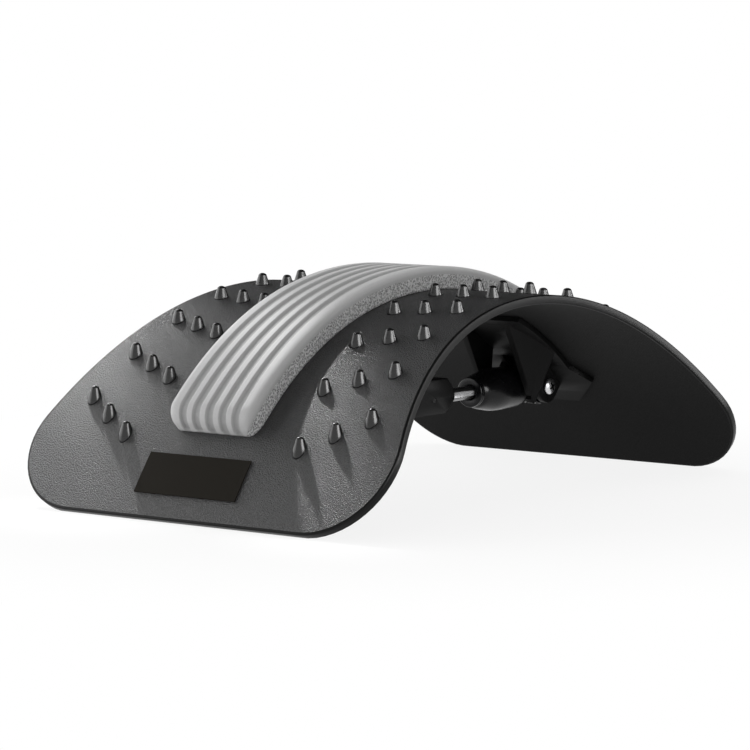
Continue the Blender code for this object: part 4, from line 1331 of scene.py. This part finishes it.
def hang_lamps(stage):
    """Hang the softboxes, and the spots that throw the nubs' shadows down the sheet."""
    middle = (0.0, 0.0, 0.06)
    foot = (0.0, -0.08, 0.08)
    crown = (0.0, 0.05, 0.1)
    hang_softbox("left_softbox", (-0.483, -0.148, 0.131), foot, (0.94, 1.01), stage.left, roll=-42)
    hang_softbox("side_softbox", (1.25, -0.12, 0.55), middle, (1.0, 0.9), stage.side, "diffuse")
    hang_softbox("rim_softbox", (1.0, 0.82, 0.32), middle, (0.35, 0.5), stage.rim, "diffuse")
    hang_softbox("top_softbox", (-0.1, 0.5, 0.9), crown, (1.0, 1.0), stage.top, "glossy")
    hang_spot("right_foot_spot", (0.100, -0.196, 0.004), stage.foot, turn=-56, rise=44, beam=5)
    hang_spot("left_foot_spot", (-0.085, -0.190, 0.012), stage.foot, turn=-54, rise=44, beam=6)
    hang_spot("left_slope_spot", (-0.085, -0.150, 0.058), stage.slope, turn=-50, rise=40, beam=6)


def hang_spot(name, target, power, turn, rise, beam):
    """Hang a spot that shines on a point, from a turn from +Y and a rise, in degrees like its beam."""
    distance = 1.3
    data = bpy.data.lights.new(name, "SPOT")
    data.energy = power
    data.shadow_soft_size = 0.02
    data.spot_size = math.radians(beam)
    data.spot_blend = 1.0
    lamp = bpy.data.objects.new(name, data)
    turn = math.radians(turn)
    rise = math.radians(rise)
    out = Vector((math.sin(turn) * math.cos(rise), math.cos(turn) * math.cos(rise), math.sin(rise)))
    lamp.location = Vector(target) + distance * out
    lamp.rotation_euler = out.to_track_quat("Z", "Y").to_euler()
    bpy.context.scene.collection.objects.link(lamp)


def hang_softbox(name, place, target, size, power, unseen_by=None, roll=0):
    """Hang a softbox that faces a point, unseen by the camera and maybe by another kind of ray."""
    data = bpy.data.lights.new(name, "AREA")
    data.shape = "RECTANGLE"
    data.size, data.size_y = size
    data.energy = power
    lamp = bpy.data.objects.new(name, data)
    lamp.visible_camera = False
    lamp.visible_diffuse = unseen_by != "diffuse"
    lamp.visible_glossy = unseen_by != "glossy"
    lamp.location = place
    aim = (Vector(target) - lamp.location).to_track_quat("-Z", "Y").to_matrix()
    lamp.rotation_euler = (aim @ Matrix.Rotation(math.radians(roll), 3, "Z")).to_euler()
    bpy.context.scene.collection.objects.link(lamp)


STEPS = ("camera", "sheet", "pad", "label", "brackets", "strut", "pivots", "stage")


class STRETCHER_PT_panel(bpy.types.Panel):
    """Lists the steps that build the stretcher"""

    bl_label = "Back stretcher"
    bl_space_type = "VIEW_3D"
    bl_region_type = "UI"
    bl_category = "Stretcher"

    def draw(self, context):
        for step in STEPS:
            self.layout.operator(f"stretcher.{step}")


SETTINGS = {
    "stretcher_sheet": SheetSettings,
    "stretcher_pad": PadSettings,
    "stretcher_strut": StrutSettings,
    "stretcher_stage": StageSettings,
}
CLASSES = (
    *SETTINGS.values(),
    STRETCHER_OT_camera,
    STRETCHER_OT_sheet,
    STRETCHER_OT_pad,
    STRETCHER_OT_label,
    STRETCHER_OT_brackets,
    STRETCHER_OT_strut,
    STRETCHER_OT_pivots,
    STRETCHER_OT_stage,
    STRETCHER_PT_panel,
)


def register():
    """Register the classes and hang the settings on the scene."""
    for item in CLASSES:
        bpy.utils.register_class(item)
    for name, group in SETTINGS.items():
        setattr(bpy.types.Scene, name, PointerProperty(type=group))


def unregister():
    """Take the settings and the classes away again."""
    for name in SETTINGS:
        delattr(bpy.types.Scene, name)
    for item in reversed(CLASSES):
        bpy.utils.unregister_class(item)


def main():
    """Build every piece in order."""
    register()
    for step in STEPS:
        getattr(bpy.ops.stretcher, step)()


if __name__ == "__main__":
    main()
